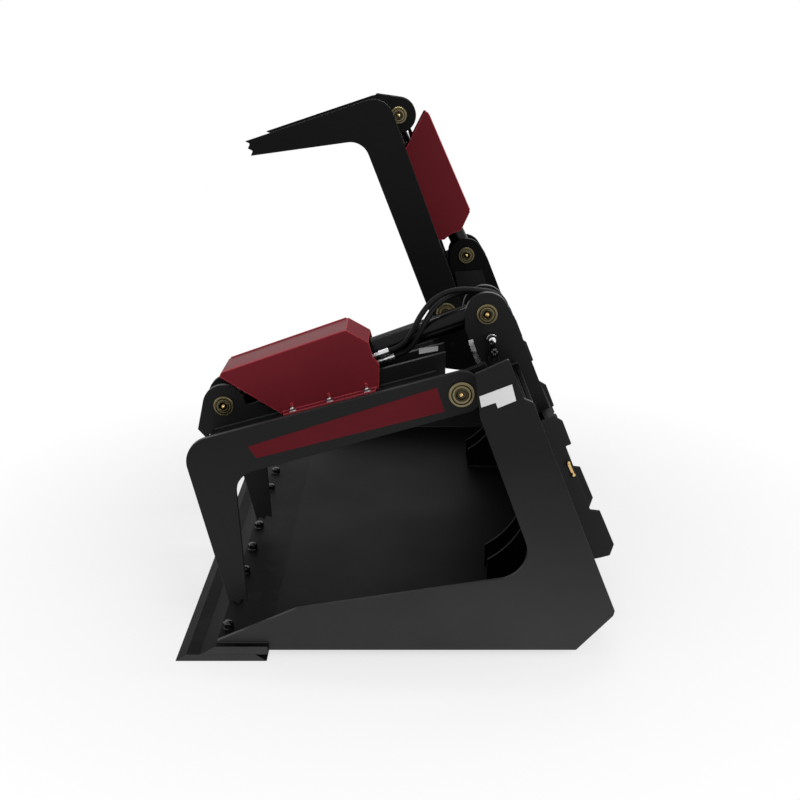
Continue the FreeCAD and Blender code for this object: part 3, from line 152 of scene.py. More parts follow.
MIRROR = Matrix.Scale(-1, 4, Y_AXIS)
FAR_PLACE = {
    "bucket": MIRROR,
    "arm": turn_about(PIVOT, OPEN_ANGLE) @ MIRROR,
    "barrel": turn_about(BASE_PIN, BARREL_SWING) @ MIRROR,
    "rod": turn_about(BASE_PIN, BARREL_SWING) @ Matrix.Translation(-CYLINDER_ALONG * STROKE) @ MIRROR,
}


# What a user may change

class ScrapGrappleSizes(bpy.types.PropertyGroup):
    edge_rounding: FloatProperty(
        name="Edge rounding", description="Radius of a plate's ground edges",
        default=0.0012, min=0.0002, max=0.004, subtype="DISTANCE", unit="LENGTH")
    bead_radius: FloatProperty(
        name="Weld bead", description="Radius of a fillet weld bead",
        default=0.0042, min=0.001, max=0.01, subtype="DISTANCE", unit="LENGTH")
    hose_radius: FloatProperty(
        name="Hose radius", description="Outer radius of the hydraulic hoses",
        default=0.0075, min=0.003, max=0.015, subtype="DISTANCE", unit="LENGTH")
    film: FloatProperty(
        name="Film thickness", description="Thickness of stripes and stickers on a plate",
        default=0.0006, min=0.0001, max=0.002, subtype="DISTANCE", unit="LENGTH")
    bolt_steps: IntProperty(
        name="Bolt segments", description="Segments round a turned bolt or cap",
        default=48, min=12, max=96)


class ScrapGrappleColours(bpy.types.PropertyGroup):
    black_coat: FloatVectorProperty(
        name="Black coat", description="Satin black paint of all plates",
        default=(0.0078, 0.0078, 0.0082), size=3, min=0, max=1, subtype="COLOR")
    red_coat: FloatVectorProperty(
        name="Red coat", description="Dark red paint of the cylinder guards",
        default=(0.150, 0.0150, 0.0210), size=3, min=0, max=1, subtype="COLOR")
    yellow_zinc: FloatVectorProperty(
        name="Yellow zinc", description="Plating of the pin caps",
        default=(0.20, 0.17, 0.095), size=3, min=0, max=1, subtype="COLOR")
    bright_zinc: FloatVectorProperty(
        name="Bright zinc", description="Plating of bolts, lines and couplings",
        default=(0.66, 0.66, 0.68), size=3, min=0, max=1, subtype="COLOR")
    hose_rubber: FloatVectorProperty(
        name="Hose rubber", description="Cover of the hydraulic hoses",
        default=(0.004, 0.004, 0.0042), size=3, min=0, max=1, subtype="COLOR")
    sticker: FloatVectorProperty(
        name="Sticker", description="Plain blank stickers",
        default=(0.72, 0.72, 0.72), size=3, min=0, max=1, subtype="COLOR")


def sizes():
    return bpy.context.scene.scrap_grapple_sizes


def colours():
    return bpy.context.scene.scrap_grapple_colours


# Shader node groups

def new_group(name, inputs, outputs):
    """An empty shader node group with named sockets; returns it with its two end nodes."""
    tree = bpy.data.node_groups.new(name, "ShaderNodeTree")
    for label, kind, value in inputs:
        socket = tree.interface.new_socket(label, in_out="INPUT", socket_type=kind)
        socket.default_value = value
    for label, kind in outputs:
        tree.interface.new_socket(label, in_out="OUTPUT", socket_type=kind)
    start = tree.nodes.new("NodeGroupInput")
    end = tree.nodes.new("NodeGroupOutput")
    return tree, start, end


def add_node(tree, kind, **settings):
    """A node with its properties set and its unlinked inputs given by index or name in `values`."""
    node = tree.nodes.new(kind)
    values = settings.pop("values", {})
    for key, value in settings.items():
        setattr(node, key, value)
    for key, value in values.items():
        node.inputs[key].default_value = value
    return node


def noise(tree, vector, scale, detail=3.0, roughness=0.5):
    """A noise texture read at a vector; returns its factor."""
    node = add_node(tree, "ShaderNodeTexNoise",
                    values={"Scale": scale, "Detail": detail, "Roughness": roughness})
    tree.links.new(vector, node.inputs["Vector"])
    return node.outputs["Fac"]


def remap(tree, value, low, high, to_low, to_high):
    """Map Range, clamped."""
    node = add_node(tree, "ShaderNodeMapRange", values={1: low, 2: high, 3: to_low, 4: to_high})
    tree.links.new(value, node.inputs[0])
    return node.outputs[0]


def maths(tree, operation, first, second):
    """A Math node of two values, each a socket or a number."""
    node = tree.nodes.new("ShaderNodeMath")
    node.operation = operation
    for i, value in enumerate((first, second)):
        if isinstance(value, (int, float)):
            node.inputs[i].default_value = value
        else:
            tree.links.new(value, node.inputs[i])
    return node.outputs[0]


def mixed(tree, factor, first, second, blend="MIX"):
    """A colour mix; factor and colours are sockets or values."""
    node = add_node(tree, "ShaderNodeMix", data_type="RGBA", blend_type=blend)
    for socket, value in ((node.inputs[0], factor), (node.inputs[6], first), (node.inputs[7], second)):
        if isinstance(value, bpy.types.NodeSocket):
            tree.links.new(value, socket)
        else:
            socket.default_value = value
    return node.outputs[2]


def coat_group():
    """Paint over steel: orange peel, faint handling marks, a painted highlight on rounded edges, painted floor
    light that pales it towards the bottom, and paler faces that look along Y.
    """
    tree, start, end = new_group(
        "Coat over steel",
        [("Colour", "NodeSocketColor", (0.02, 0.02, 0.02, 1)),
         ("Edge colour", "NodeSocketColor", (0.1, 0.1, 0.1, 1)),
         ("Edge width", "NodeSocketFloat", 0.0012),
         ("Edge share", "NodeSocketFloat", 0.35),
         ("Roughness", "NodeSocketFloat", 0.4),
         ("Scuffs", "NodeSocketFloat", 0.25),
         # Painted floor light towards the bottom, then the paling of faces that look along Y
         ("Dust", "NodeSocketFloat", 0.0),
         ("End dust", "NodeSocketFloat", 0.0)],
        [("Colour", "NodeSocketColor"), ("Roughness", "NodeSocketFloat"), ("Height", "NodeSocketFloat")])
    links = tree.links
    place = add_node(tree, "ShaderNodeTexCoord").outputs["Object"]
    peel = noise(tree, place, 420.0, 2.0)
    clouds = noise(tree, place, 3.2, 4.0)
    marks = noise(tree, place, 60.0, 6.0, 0.7)
    stretch = add_node(tree, "ShaderNodeMapping", values={"Scale": (9.0, 9.0, 140.0)})
    links.new(place, stretch.inputs["Vector"])
    streaks = noise(tree, stretch.outputs[0], 1.6, 3.0)
    # Painted highlight: a bevel mask finds the rounded edges, noise breaks it up, and the edge colour is mixed in
    # there.
    bevel = add_node(tree, "ShaderNodeBevel", samples=6)
    links.new(start.outputs["Edge width"], bevel.inputs["Radius"])
    geometry = add_node(tree, "ShaderNodeNewGeometry")
    dot = add_node(tree, "ShaderNodeVectorMath", operation="DOT_PRODUCT")
    links.new(bevel.outputs[0], dot.inputs[0])
    links.new(geometry.outputs["Normal"], dot.inputs[1])
    edge = remap(tree, dot.outputs["Value"], 0.995, 0.86, 0.0, 1.0)
    broken = remap(tree, marks, 0.36, 0.62, 0.35, 1.0)
    edge = maths(tree, "MULTIPLY", maths(tree, "MULTIPLY", edge, broken), start.outputs["Edge share"])
    shade = remap(tree, clouds, 0.3, 0.7, 0.88, 1.12)
    scuff = maths(tree, "MULTIPLY", remap(tree, streaks, 0.52, 0.78, 0.0, 1.0), start.outputs["Scuffs"])
    base = mixed(tree, 1.0, start.outputs["Colour"], (1, 1, 1, 1), "MULTIPLY")
    tint = add_node(tree, "ShaderNodeCombineColor")
    for i in range(3):
        links.new(shade, tint.inputs[i])
    base = mixed(tree, 1.0, base, tint.outputs[0], "MULTIPLY")
    edge_highlighted = mixed(tree, edge, base, start.outputs["Edge colour"])
    dusty = mixed(tree, maths(tree, "MULTIPLY", scuff, 0.10), edge_highlighted, (0.24, 0.23, 0.22, 1))
    # Painted floor light: the paint pales towards the bottom of the piece, as if lit by the bright floor. Faces
    # that look along Y are made paler as well, by their own amount.
    split = add_node(tree, "ShaderNodeSeparateXYZ")
    links.new(place, split.inputs[0])
    low = maths(tree, "MULTIPLY", remap(tree, split.outputs[2], 0.02, 0.55, 1.0, 0.0), start.outputs["Dust"])
    facing = add_node(tree, "ShaderNodeSeparateXYZ")
    links.new(geometry.outputs["Normal"], facing.inputs[0])
    across = remap(tree, maths(tree, "ABSOLUTE", facing.outputs[1], 0.0), 0.8, 1.0, 0.0, 1.0)
    low = maths(tree, "ADD", low, maths(tree, "MULTIPLY", across, start.outputs["End dust"]))
    low = maths(tree, "MULTIPLY", low, remap(tree, clouds, 0.3, 0.7, 0.8, 1.1))
    links.new(mixed(tree, low, dusty, (0.20, 0.20, 0.205, 1)), end.inputs["Colour"])
    rough = maths(tree, "ADD", start.outputs["Roughness"], remap(tree, clouds, 0.3, 0.7, -0.04, 0.05))
    rough = maths(tree, "ADD", rough, maths(tree, "MULTIPLY", scuff, 0.12))
    links.new(rough, end.inputs["Roughness"])
    height = maths(tree, "ADD", maths(tree, "MULTIPLY", peel, 0.7), maths(tree, "MULTIPLY", marks, 0.3))
    links.new(height, end.inputs["Height"])
    return tree


def metal_group():
    """Bare or plated metal: fine turning lines, soft blotches and small scratches."""
    tree, start, end = new_group(
        "Plated metal",
        [("Colour", "NodeSocketColor", (0.6, 0.6, 0.6, 1)),
         ("Blotch colour", "NodeSocketColor", (0.5, 0.5, 0.5, 1)),
         ("Blotch share", "NodeSocketFloat", 0.4),
         ("Grain scale", "NodeSocketFloat", 700.0),
         ("Roughness", "NodeSocketFloat", 0.3)],
        [("Colour", "NodeSocketColor"), ("Roughness", "NodeSocketFloat"), ("Height", "NodeSocketFloat")])
    place = add_node(tree, "ShaderNodeTexCoord").outputs["Object"]
    blotch = noise(tree, place, 38.0, 4.0)
    grain = add_node(tree, "ShaderNodeTexNoise", values={"Detail": 2.0})
    tree.links.new(place, grain.inputs["Vector"])
    tree.links.new(start.outputs["Grain scale"], grain.inputs["Scale"])
    share = maths(tree, "MULTIPLY", remap(tree, blotch, 0.42, 0.66, 0.0, 1.0), start.outputs["Blotch share"])
    colour = mixed(tree, share, start.outputs["Colour"], start.outputs["Blotch colour"])
    tree.links.new(colour, end.inputs["Colour"])
    rough = maths(tree, "ADD", start.outputs["Roughness"], remap(tree, blotch, 0.35, 0.7, -0.05, 0.1))
    tree.links.new(rough, end.inputs["Roughness"])
    tree.links.new(grain.outputs["Fac"], end.inputs["Height"])
    return tree


def finish(name, group, values, bump, depth, **shader):
    """A material that reads one finish group and sets its uniform numbers on the shader itself."""
    material = bpy.data.materials.new(name)
    material.use_nodes = True
    tree = material.node_tree
    surface = tree.nodes["Principled BSDF"]
    source = add_node(tree, "ShaderNodeGroup", node_tree=group)
    for key, value in values.items():
        source.inputs[key].default_value = (*value, 1.0) if isinstance(value, (tuple, list)) else value
    tree.links.new(source.outputs["Colour"], surface.inputs["Base Color"])
    tree.links.new(source.outputs["Roughness"], surface.inputs["Roughness"])
    relief = add_node(tree, "ShaderNodeBump", values={"Strength": bump, "Distance": depth})
    tree.links.new(source.outputs["Height"], relief.inputs["Height"])
    tree.links.new(relief.outputs[0], surface.inputs["Normal"])
    for key, value in shader.items():
        surface.inputs[key.replace("_", " ")].default_value = value
    return material


def paler(colour, gain):
    """A colour made brighter by a factor."""
    return tuple(min(1.0, channel * gain) for channel in colour)


FINISHES = {}


def paint(group, key, name, colour, edge, edge_highlight_share, roughness, scuffs, relief, shine=None, **more):
    """Adds a coated finish: colours, a painted edge highlight, roughness, scuffs, (strength, depth) of relief,
    shine.
    """
    values = {"Colour": colour, "Edge colour": edge, "Edge share": edge_highlight_share,
              "Roughness": roughness, "Scuffs": scuffs}
    values.update({word.replace("_", " "): value for word, value in more.items()})
    shader = {} if shine is None else {"Specular_IOR_Level": shine}
    FINISHES[key] = finish(name, group, values, *relief, **shader)


def plate(group, key, name, colour, blotch, blotch_share, roughness, grain, relief, **shader):
    """Adds a plated or plain finish: colours, blotches, roughness, grain, (strength, depth) of relief."""
    values = {"Colour": colour, "Blotch colour": blotch, "Blotch share": blotch_share,
              "Roughness": roughness, "Grain scale": grain}
    FINISHES[key] = finish(name, group, values, *relief, **(shader or {"Metallic": 1.0}))


class SCRAPGRAPPLE_OT_finishes(bpy.types.Operator):
    """Makes the paint, plating, rubber and sticker materials"""
    bl_idname = "scrapgrapple.finishes"
    bl_label = "Make finishes"

    def execute(self, context):
        coat, metal = coat_group(), metal_group()
        tone = colours()
        black, red, zinc = tuple(tone.black_coat), tuple(tone.red_coat), tuple(tone.yellow_zinc)
        broad, smooth = (0.12, 0.0004), (0.03, 0.0003)
        paint(coat, "black", "satin black coat", paler(black, 0.8), (0.06, 0.06, 0.062),
              0.45, 0.42, 0.05, broad, 0.16)
        # Painted floor light: the sides and the near grapple pale towards the bottom.
        paint(coat, "side", "satin black coat of the sides, with painted floor light", paler(black, 0.85), (0.10, 0.10, 0.104),
              0.6, 0.42, 0.05, broad, 0.14, Dust=0.19)
        paint(coat, "arm", "satin black coat of the grapples, with painted floor light", paler(black, 0.8), (0.07, 0.07, 0.072),
              0.5, 0.42, 0.05, broad, 0.16, Dust=0.06)
        # Painted shade: the far grapple's copy of the black is darker and less shiny.
        paint(coat, "far arm", "satin black coat of the far grapple", paler(black, 0.62), (0.03, 0.03, 0.031),
              0.5, 0.45, 0.05, broad, 0.07)
        paint(coat, "inner", "satin black coat in the shade", paler(black, 0.42), (0.03, 0.03, 0.031),
              0.5, 0.5, 0.05, broad, 0.05)
        paint(coat, "gloss", "gloss black coat of the cylinders", paler(black, 0.2), (0.03, 0.03, 0.031),
              0.4, 0.24, 0.1, (0.04, 0.0004), 0.17)
        # Faces of the cutting edges that look along Y are made paler.
        paint(coat, "edge", "black coated edge steel", paler(black, 0.35), (0.03, 0.03, 0.031),
              0.5, 0.5, 0.4, (0.2, 0.0005), 0.04, End_dust=0.30)
        paint(coat, "mount", "dull black coat of the mount", paler(black, 3.6), (0.06, 0.06, 0.062),
              0.4, 0.8, 0.05, broad, 0.05)
        paint(coat, "fastener", "oiled black bolts", (0.005, 0.005, 0.0052), (0.05, 0.05, 0.052),
              0.3, 0.20, 0.1, (0.05, 0.0003), 0.5)
        # Painted light: the near guard's copy of the red coat is made paler than the far one's, and both guards'
        # edges carry a bright red painted highlight.
        for side, gain in (("near_", 1.22), ("far_", 1.0)):
            paint(coat, side + "guard", "dark red coat of the %sguard" % side, paler(red, gain),
                  (0.85, 0.09, 0.11), 1.0, 0.36, 0.08, (0.08, 0.0004), 0.04, Edge_width=0.0032)
        paint(coat, "stripe", "red stripe film", paler(red, 0.8), (0.2, 0.02, 0.03),
              0.2, 0.42, 0.1, smooth, 0.04)
        # Painted highlight: the bright red of the tubes along the guard's folds.
        paint(coat, "fold", "bright red painted highlight of the guard folds", (0.42, 0.055, 0.07), (0.5, 0.08, 0.09),
              0.2, 0.35, 0.1, smooth, 0.2)
        paint(coat, "sticker", "blank sticker", tuple(tone.sticker), (0.6, 0.6, 0.6),
              0.2, 0.45, 0.2, (0.02, 0.0003))
        paint(coat, "weld", "painted weld bead", paler(black, 1.2), (0.06, 0.06, 0.063),
              0.0, 0.38, 0.2, (0.3, 0.0006), 0.25)
        browner = (zinc[0] * 0.8, zinc[1] * 0.72, zinc[2] * 0.55)
        plate(metal, "yellow zinc", "yellow zinc plating", zinc, browner,
              0.5, 0.30, 900.0, (0.10, 0.0002))
        plate(metal, "bright zinc", "bright zinc plating", tuple(tone.bright_zinc), (0.52, 0.52, 0.55),
              0.4, 0.24, 900.0, (0.08, 0.0002))
        # Painted reflection: the pin caps' rings are darkened as if they mirrored dark surroundings.
        plate(metal, "dark reflection plating", "polished plating darkened as a painted reflection", paler(zinc, 0.25), paler(zinc, 0.18),
              0.3, 0.14, 1400.0, (0.03, 0.0001))
        plate(metal, "guard bolt", "plated guard bolts", (0.60, 0.56, 0.55), (0.42, 0.40, 0.39),
              0.4, 0.28, 900.0, (0.08, 0.0002))
        plate(metal, "brass", "yellow brass", (0.74, 0.52, 0.22), (0.55, 0.38, 0.15),
              0.35, 0.22, 900.0, (0.06, 0.0002))
        plate(metal, "chrome", "hard chrome", (0.78, 0.78, 0.80), (0.7, 0.7, 0.72),
              0.3, 0.12, 1400.0, (0.03, 0.0001))
        plate(metal, "steel", "turned steel", (0.42, 0.41, 0.40), (0.30, 0.28, 0.26),
              0.5, 0.38, 800.0, (0.15, 0.0002))
        plate(metal, "rubber", "hose cover", tuple(tone.hose_rubber), (0.007, 0.007, 0.0072),
              0.6, 0.46, 1100.0, (0.25, 0.0003), Specular_IOR_Level=0.12)
        return {"FINISHED"}


# Mesh helpers

def add_piece(name, mesh, material, body, slot):
    """Links a mesh in place, gives it its finish and lets it ride on a body."""
    piece = bpy.data.objects.new(name, mesh)
    bpy.context.scene.collection.objects.link(piece)
    piece.data.materials.clear()
    piece.data.materials.append(material)
    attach(piece, body)
    return piece


def mesh_from(build, matrix=None, smooth_angle=30.0):
    """A mesh from a bmesh that a function fills, moved by a matrix, with its faces outwards."""
    work = bmesh.new()
    build(work)
    if matrix is not None:
        bmesh.ops.transform(work, matrix=matrix, verts=work.verts)
        if matrix.determinant() < 0:
            bmesh.ops.reverse_faces(work, faces=work.faces)
    mesh = bpy.data.meshes.new("piece")
    work.to_mesh(mesh)
    work.free()
    for polygon in mesh.polygons:
        polygon.use_smooth = True
    mesh.set_sharp_from_angle(angle=math.radians(smooth_angle))
    return mesh


def ring_of(work, centre, side, other, radius, steps):
    """A ring of vertices about a centre, in the plane of two unit vectors."""
    ring = []
    for i in range(steps):
        angle = 2 * math.pi * i / steps
        across = centre + side * (radius * math.cos(angle))
        ring.append(work.verts.new(across + other * (radius * math.sin(angle))))
    return ring


def lathe(work, base, axis, profile, steps):
    """Turns (distance along the axis, radius) points about an axis; ends on the axis close it."""
    axis = axis.normalized()
    side = axis.orthogonal().normalized()
    other = axis.cross(side)
    rings = []
    for along, radius in profile:
        centre = base + axis * along
        if radius < 1e-6:
            rings.append([work.verts.new(centre)])
            continue
        rings.append(ring_of(work, centre, side, other, radius, steps))
    for low, high in zip(rings, rings[1:]):
        for i in range(steps):
            j = (i + 1) % steps
            if len(low) == 1:
                work.faces.new((low[0], high[j], high[i]))
            elif len(high) == 1:
                work.faces.new((low[i], low[j], high[0]))
            else:
                work.faces.new((low[i], low[j], high[j], high[i]))


def prism(work, outline, thickness):
    """A closed plate from an outline of points and the vector of its thickness."""
    low = [work.verts.new(point) for point in outline]
    high = [work.verts.new(point + thickness) for point in outline]
    normal = (outline[1] - outline[0]).cross(outline[2] - outline[1])
    if normal.dot(thickness) > 0:
        low_face, high_face = list(reversed(low)), high
    else:
        low_face, high_face = low, list(reversed(high))
    work.faces.new(low_face)
    work.faces.new(high_face)
    count = len(outline)
    for i in range(count):
        j = (i + 1) % count
        ring = (low[i], low[j], high[j], high[i])
        work.faces.new(ring if normal.dot(thickness) > 0 else tuple(reversed(ring)))


# Plates that come from the frame

PAINTED = {
    "side": ["side_plate_near", "side_plate_far", "mount_flanges"],
    "inner": ["bucket_shell", "wear_runners", "corner_gussets", "top_tube", "pivot_lugs",
              "tower_ear_far_outer", "tower_ear_far_inner"],
    "black": ["tower_ear_near_outer", "tower_ear_near_inner", "tower_webs"],
    "mount": ["mount_plates", "mount_lips", "mount_sides"],
    "edge": ["base_edge", "bolt_on_edge"],
}
ARM_PAINTED = ["outer_plate", "inner_plate", "deck", "ribs"]
SMOOTH_PAINTED = ["barrel", "gland", "rod_eye"]


NODE_BODY = {node: body for body, nodes in frame["record"]["behaviour"]["bodies"].items() for node in nodes}
NODE_SLOT = {part["node"]: part["material_slot"] for part in frame["record"]["subparts"]}


def merged_copy(node):
    """A copy of a CAD node's loose triangles, merged into whole flat faces."""
    work = bmesh.new()
    work.from_mesh(frame["nodes"][node].data)
    bmesh.ops.remove_doubles(work, verts=work.verts, dist=0.00002)
    bmesh.ops.dissolve_limit(work, angle_limit=math.radians(0.5), verts=work.verts, edges=work.edges)
    mesh = bpy.data.meshes.new(node + "_finished")
    work.to_mesh(mesh)
    work.free()
    for polygon in mesh.polygons:
        polygon.use_smooth = True
    mesh.set_sharp_from_angle(angle=math.radians(30))
    return mesh


def dress(node, material, width):
    """A finished piece in a CAD node's place: its shape with rounded edges, its paint or plating."""
    piece = add_piece(node + "_finished", merged_copy(node), material, NODE_BODY[node], NODE_SLOT[node])
    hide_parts(node)
    rounding = piece.modifiers.new("rounded edges", "BEVEL")
    rounding.width = width
    rounding.segments = 2
    rounding.limit_method = "ANGLE"
    rounding.angle_limit = math.radians(35)
    rounding.use_clamp_overlap = True
    rounding.miter_outer = "MITER_ARC"
    shading = piece.modifiers.new("even shading", "WEIGHTED_NORMAL")
    shading.keep_sharp = True
    return piece


class SCRAPGRAPPLE_OT_plates(bpy.types.Operator):
    """Finishes the bucket, towers, mount and grapple plates with rounded edges and paint"""
    bl_idname = "scrapgrapple.plates"
    bl_label = "Finish plates"

    def execute(self, context):
        width = sizes().edge_rounding
        for key, nodes in PAINTED.items():
            for node in nodes:
                dress(node, FINISHES[key], width)
        for side in ("near_", "far_"):
            for node in ARM_PAINTED:
                dress(side + node, FINISHES["arm" if side == "near_" else "far arm"], width)
            for node in SMOOTH_PAINTED:
                dress(side + node, FINISHES["gloss"], width)
            dress(side + "guard", FINISHES[side + "guard"], width * 0.8)
            dress(side + "rod", FINISHES["chrome"], width * 0.5)
            dress(side + "piston", FINISHES["steel"], width * 0.5)
            dress(side + "bushes", FINISHES["steel"], width * 0.4)
            dress(side + "guard_bolts", FINISHES["bright zinc"], width * 0.4)
        dress("edge_bolts", FINISHES["fastener"], width * 0.5)
        dress("near_barrel_lines", FINISHES["bright zinc"], width * 0.4)
        dress("tower_fittings", FINISHES["gloss"], width * 0.5)
        return {"FINISHED"}


# Hoses

def hose_points(index):
    """The whole route of a hose: crimped end on the barrel, bends, coupling in the ear."""
    side, up, reach = HOSE_ENDS[index]
    start = barrel_point(reach, side, up)
    lead = barrel_point(reach - HOSE_LEAD, side, up)
    route = [Vector(point) for point in (HOSE_UPPER, HOSE_LOWER)[index]]
    inner_face = -GRAPPLE_Y - EAR_HALF_SPAN + EAR_THICKNESS
    angle = ELBOW_ANGLES[index]
    way = Vector((math.cos(angle), 0, math.sin(angle)))
    last = COUPLINGS[index] + Y_AXIS * (inner_face + ELBOW_INSETS[index]) + way * ELBOW_LENGTH
    return [start, lead] + route + [last + way * HOSE_TAIL, last]


def smooth_line(points):
    """The points of the smooth line that a NURBS spline draws through a route."""
    curve = bpy.data.curves.new("route", "CURVE")
    curve.dimensions = "3D"
    curve.resolution_u = 10
    spline = curve.splines.new("NURBS")
    spline.points.add(len(points) - 1)
    for i, point in enumerate(points):
        spline.points[i].co = (*point, 1)
    spline.order_u = 3
    spline.use_endpoint_u = True
    holder = bpy.data.objects.new("route", curve)
    bpy.context.scene.collection.objects.link(holder)
    bpy.context.view_layer.update()
    mesh = bpy.data.meshes.new_from_object(holder.evaluated_get(bpy.context.evaluated_depsgraph_get()))
    line = [vertex.co.copy() for vertex in mesh.vertices]
    bpy.data.objects.remove(holder)
    bpy.data.meshes.remove(mesh)
    return line


def tube_along(work, line, radius, steps):
    """A round tube along a line of points, with closed ends and no twist."""
    tangents = []
    for i in range(len(line)):
        ahead = line[min(i + 1, len(line) - 1)] - line[max(i - 1, 0)]
        tangents.append(ahead.normalized())
    side = tangents[0].orthogonal().normalized()
    rings = []
    for point, tangent in zip(line, tangents):
        side = (side - tangent * side.dot(tangent)).normalized()
        other = tangent.cross(side)
        rings.append(ring_of(work, point, side, other, radius, steps))
    for low, high in zip(rings, rings[1:]):
        for i in range(steps):
            j = (i + 1) % steps
            work.faces.new((low[i], low[j], high[j], high[i]))
    work.faces.new(list(reversed(rings[0])))
    work.faces.new(rings[-1])


class SCRAPGRAPPLE_OT_hoses(bpy.types.Operator):
    """Makes the two hydraulic hoses that bend between the near barrel and its tower"""
    bl_idname = "scrapgrapple.hoses"
    bl_label = "Make hoses"

    def execute(self, context):
        radius = sizes().hose_radius
        for index, name in enumerate(("near_hose_upper", "near_hose_lower")):
            line = smooth_line(hose_points(index))
            mesh = mesh_from(lambda work: tube_along(work, line, radius, 20), smooth_angle=60)
            piece = bpy.data.objects.new(name + "_cover", mesh)
            context.scene.collection.objects.link(piece)
            piece.data.materials.append(FINISHES["rubber"])
            length = sum((b - a).length for a, b in zip(line, line[1:]))
            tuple(line[0])
            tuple(line[-1])
            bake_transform(piece)
            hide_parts(name)
            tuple(line[0])
        return {"FINISHED"}


# Geometry node trees

def geometry_tree(name, inputs):
    """A node tree for a modifier: mesh in and out, and named inputs for its sizes."""
    tree = bpy.data.node_groups.new(name, "GeometryNodeTree")
    tree.interface.new_socket("Geometry", in_out="INPUT", socket_type="NodeSocketGeometry")
    for label, kind, value in inputs:
        socket = tree.interface.new_socket(label, in_out="INPUT", socket_type=kind)
        if value is not None:
            socket.default_value = value
    tree.interface.new_socket("Geometry", in_out="OUTPUT", socket_type="NodeSocketGeometry")
    return tree, tree.nodes.new("NodeGroupInput"), tree.nodes.new("NodeGroupOutput")


def weld_tree():
    """Draws a rippled weld bead along every chain of mesh edges."""
    tree, start, end = geometry_tree("Weld beads", [
        ("Bead radius", "NodeSocketFloat", 0.0042), ("Ripple pitch", "NodeSocketFloat", 0.0045),
        ("Ripple depth", "NodeSocketFloat", 0.16), ("Wander", "NodeSocketFloat", 0.0012),
        ("Seed", "NodeSocketFloat", 4.0), ("Finish", "NodeSocketMaterial", None)])
    links = tree.links
    curve = tree.nodes.new("GeometryNodeMeshToCurve")
    links.new(start.outputs["Geometry"], curve.inputs["Mesh"])
    steps = add_node(tree, "GeometryNodeResampleCurve", mode="LENGTH")
    links.new(curve.outputs[0], steps.inputs["Curve"])
    links.new(maths(tree, "MULTIPLY", start.outputs["Ripple pitch"], 0.5), steps.inputs["Length"])
    along = tree.nodes.new("GeometryNodeSplineParameter").outputs["Index"]
    wave = maths(tree, "COSINE", maths(tree, "MULTIPLY", along, math.pi), 0.0)
    swell = maths(tree, "ADD", maths(tree, "MULTIPLY", wave, start.outputs["Ripple depth"]), 1.0)
    radius = tree.nodes.new("GeometryNodeSetCurveRadius")
    links.new(steps.outputs[0], radius.inputs["Curve"])
    links.new(swell, radius.inputs["Radius"])
    ring = add_node(tree, "GeometryNodeCurvePrimitiveCircle", values={"Resolution": 8})
    links.new(start.outputs["Bead radius"], ring.inputs["Radius"])
    tube = add_node(tree, "GeometryNodeCurveToMesh", values={"Fill Caps": True})
    links.new(radius.outputs[0], tube.inputs["Curve"])
    links.new(ring.outputs[0], tube.inputs["Profile Curve"])
    if "Scale" in tube.inputs:
        links.new(swell, tube.inputs["Scale"])
    uneven = add_node(tree, "ShaderNodeTexNoise", noise_dimensions="4D",
                      values={"Scale": 60.0, "Detail": 1.0})
    links.new(start.outputs["Seed"], uneven.inputs["W"])
    centred = add_node(tree, "ShaderNodeVectorMath", operation="SUBTRACT", values={1: (0.5, 0.5, 0.5)})
    links.new(uneven.outputs["Color"], centred.inputs[0])
    shift = add_node(tree, "ShaderNodeVectorMath", operation="SCALE")
    links.new(centred.outputs[0], shift.inputs[0])
    links.new(start.outputs["Wander"], shift.inputs["Scale"])
    place = tree.nodes.new("GeometryNodeSetPosition")
    links.new(tube.outputs[0], place.inputs["Geometry"])
    links.new(shift.outputs[0], place.inputs["Offset"])
    close_tree(tree, place.outputs[0], start.outputs["Finish"], end, True)
    return tree


def close_tree(tree, geometry, material, end, smooth):
    """Realizes instances, sets the shading and the material, and ends a tree."""
    real = tree.nodes.new("GeometryNodeRealizeInstances")
    tree.links.new(geometry, real.inputs[0])
    last = real.outputs[0]
    if smooth:
        shade = tree.nodes.new("GeometryNodeSetShadeSmooth")
        tree.links.new(last, shade.inputs["Geometry"])
        last = shade.outputs[0]
    paint = tree.nodes.new("GeometryNodeSetMaterial")
    tree.links.new(last, paint.inputs["Geometry"])
    tree.links.new(material, paint.inputs["Material"])
    tree.links.new(paint.outputs[0], end.inputs["Geometry"])


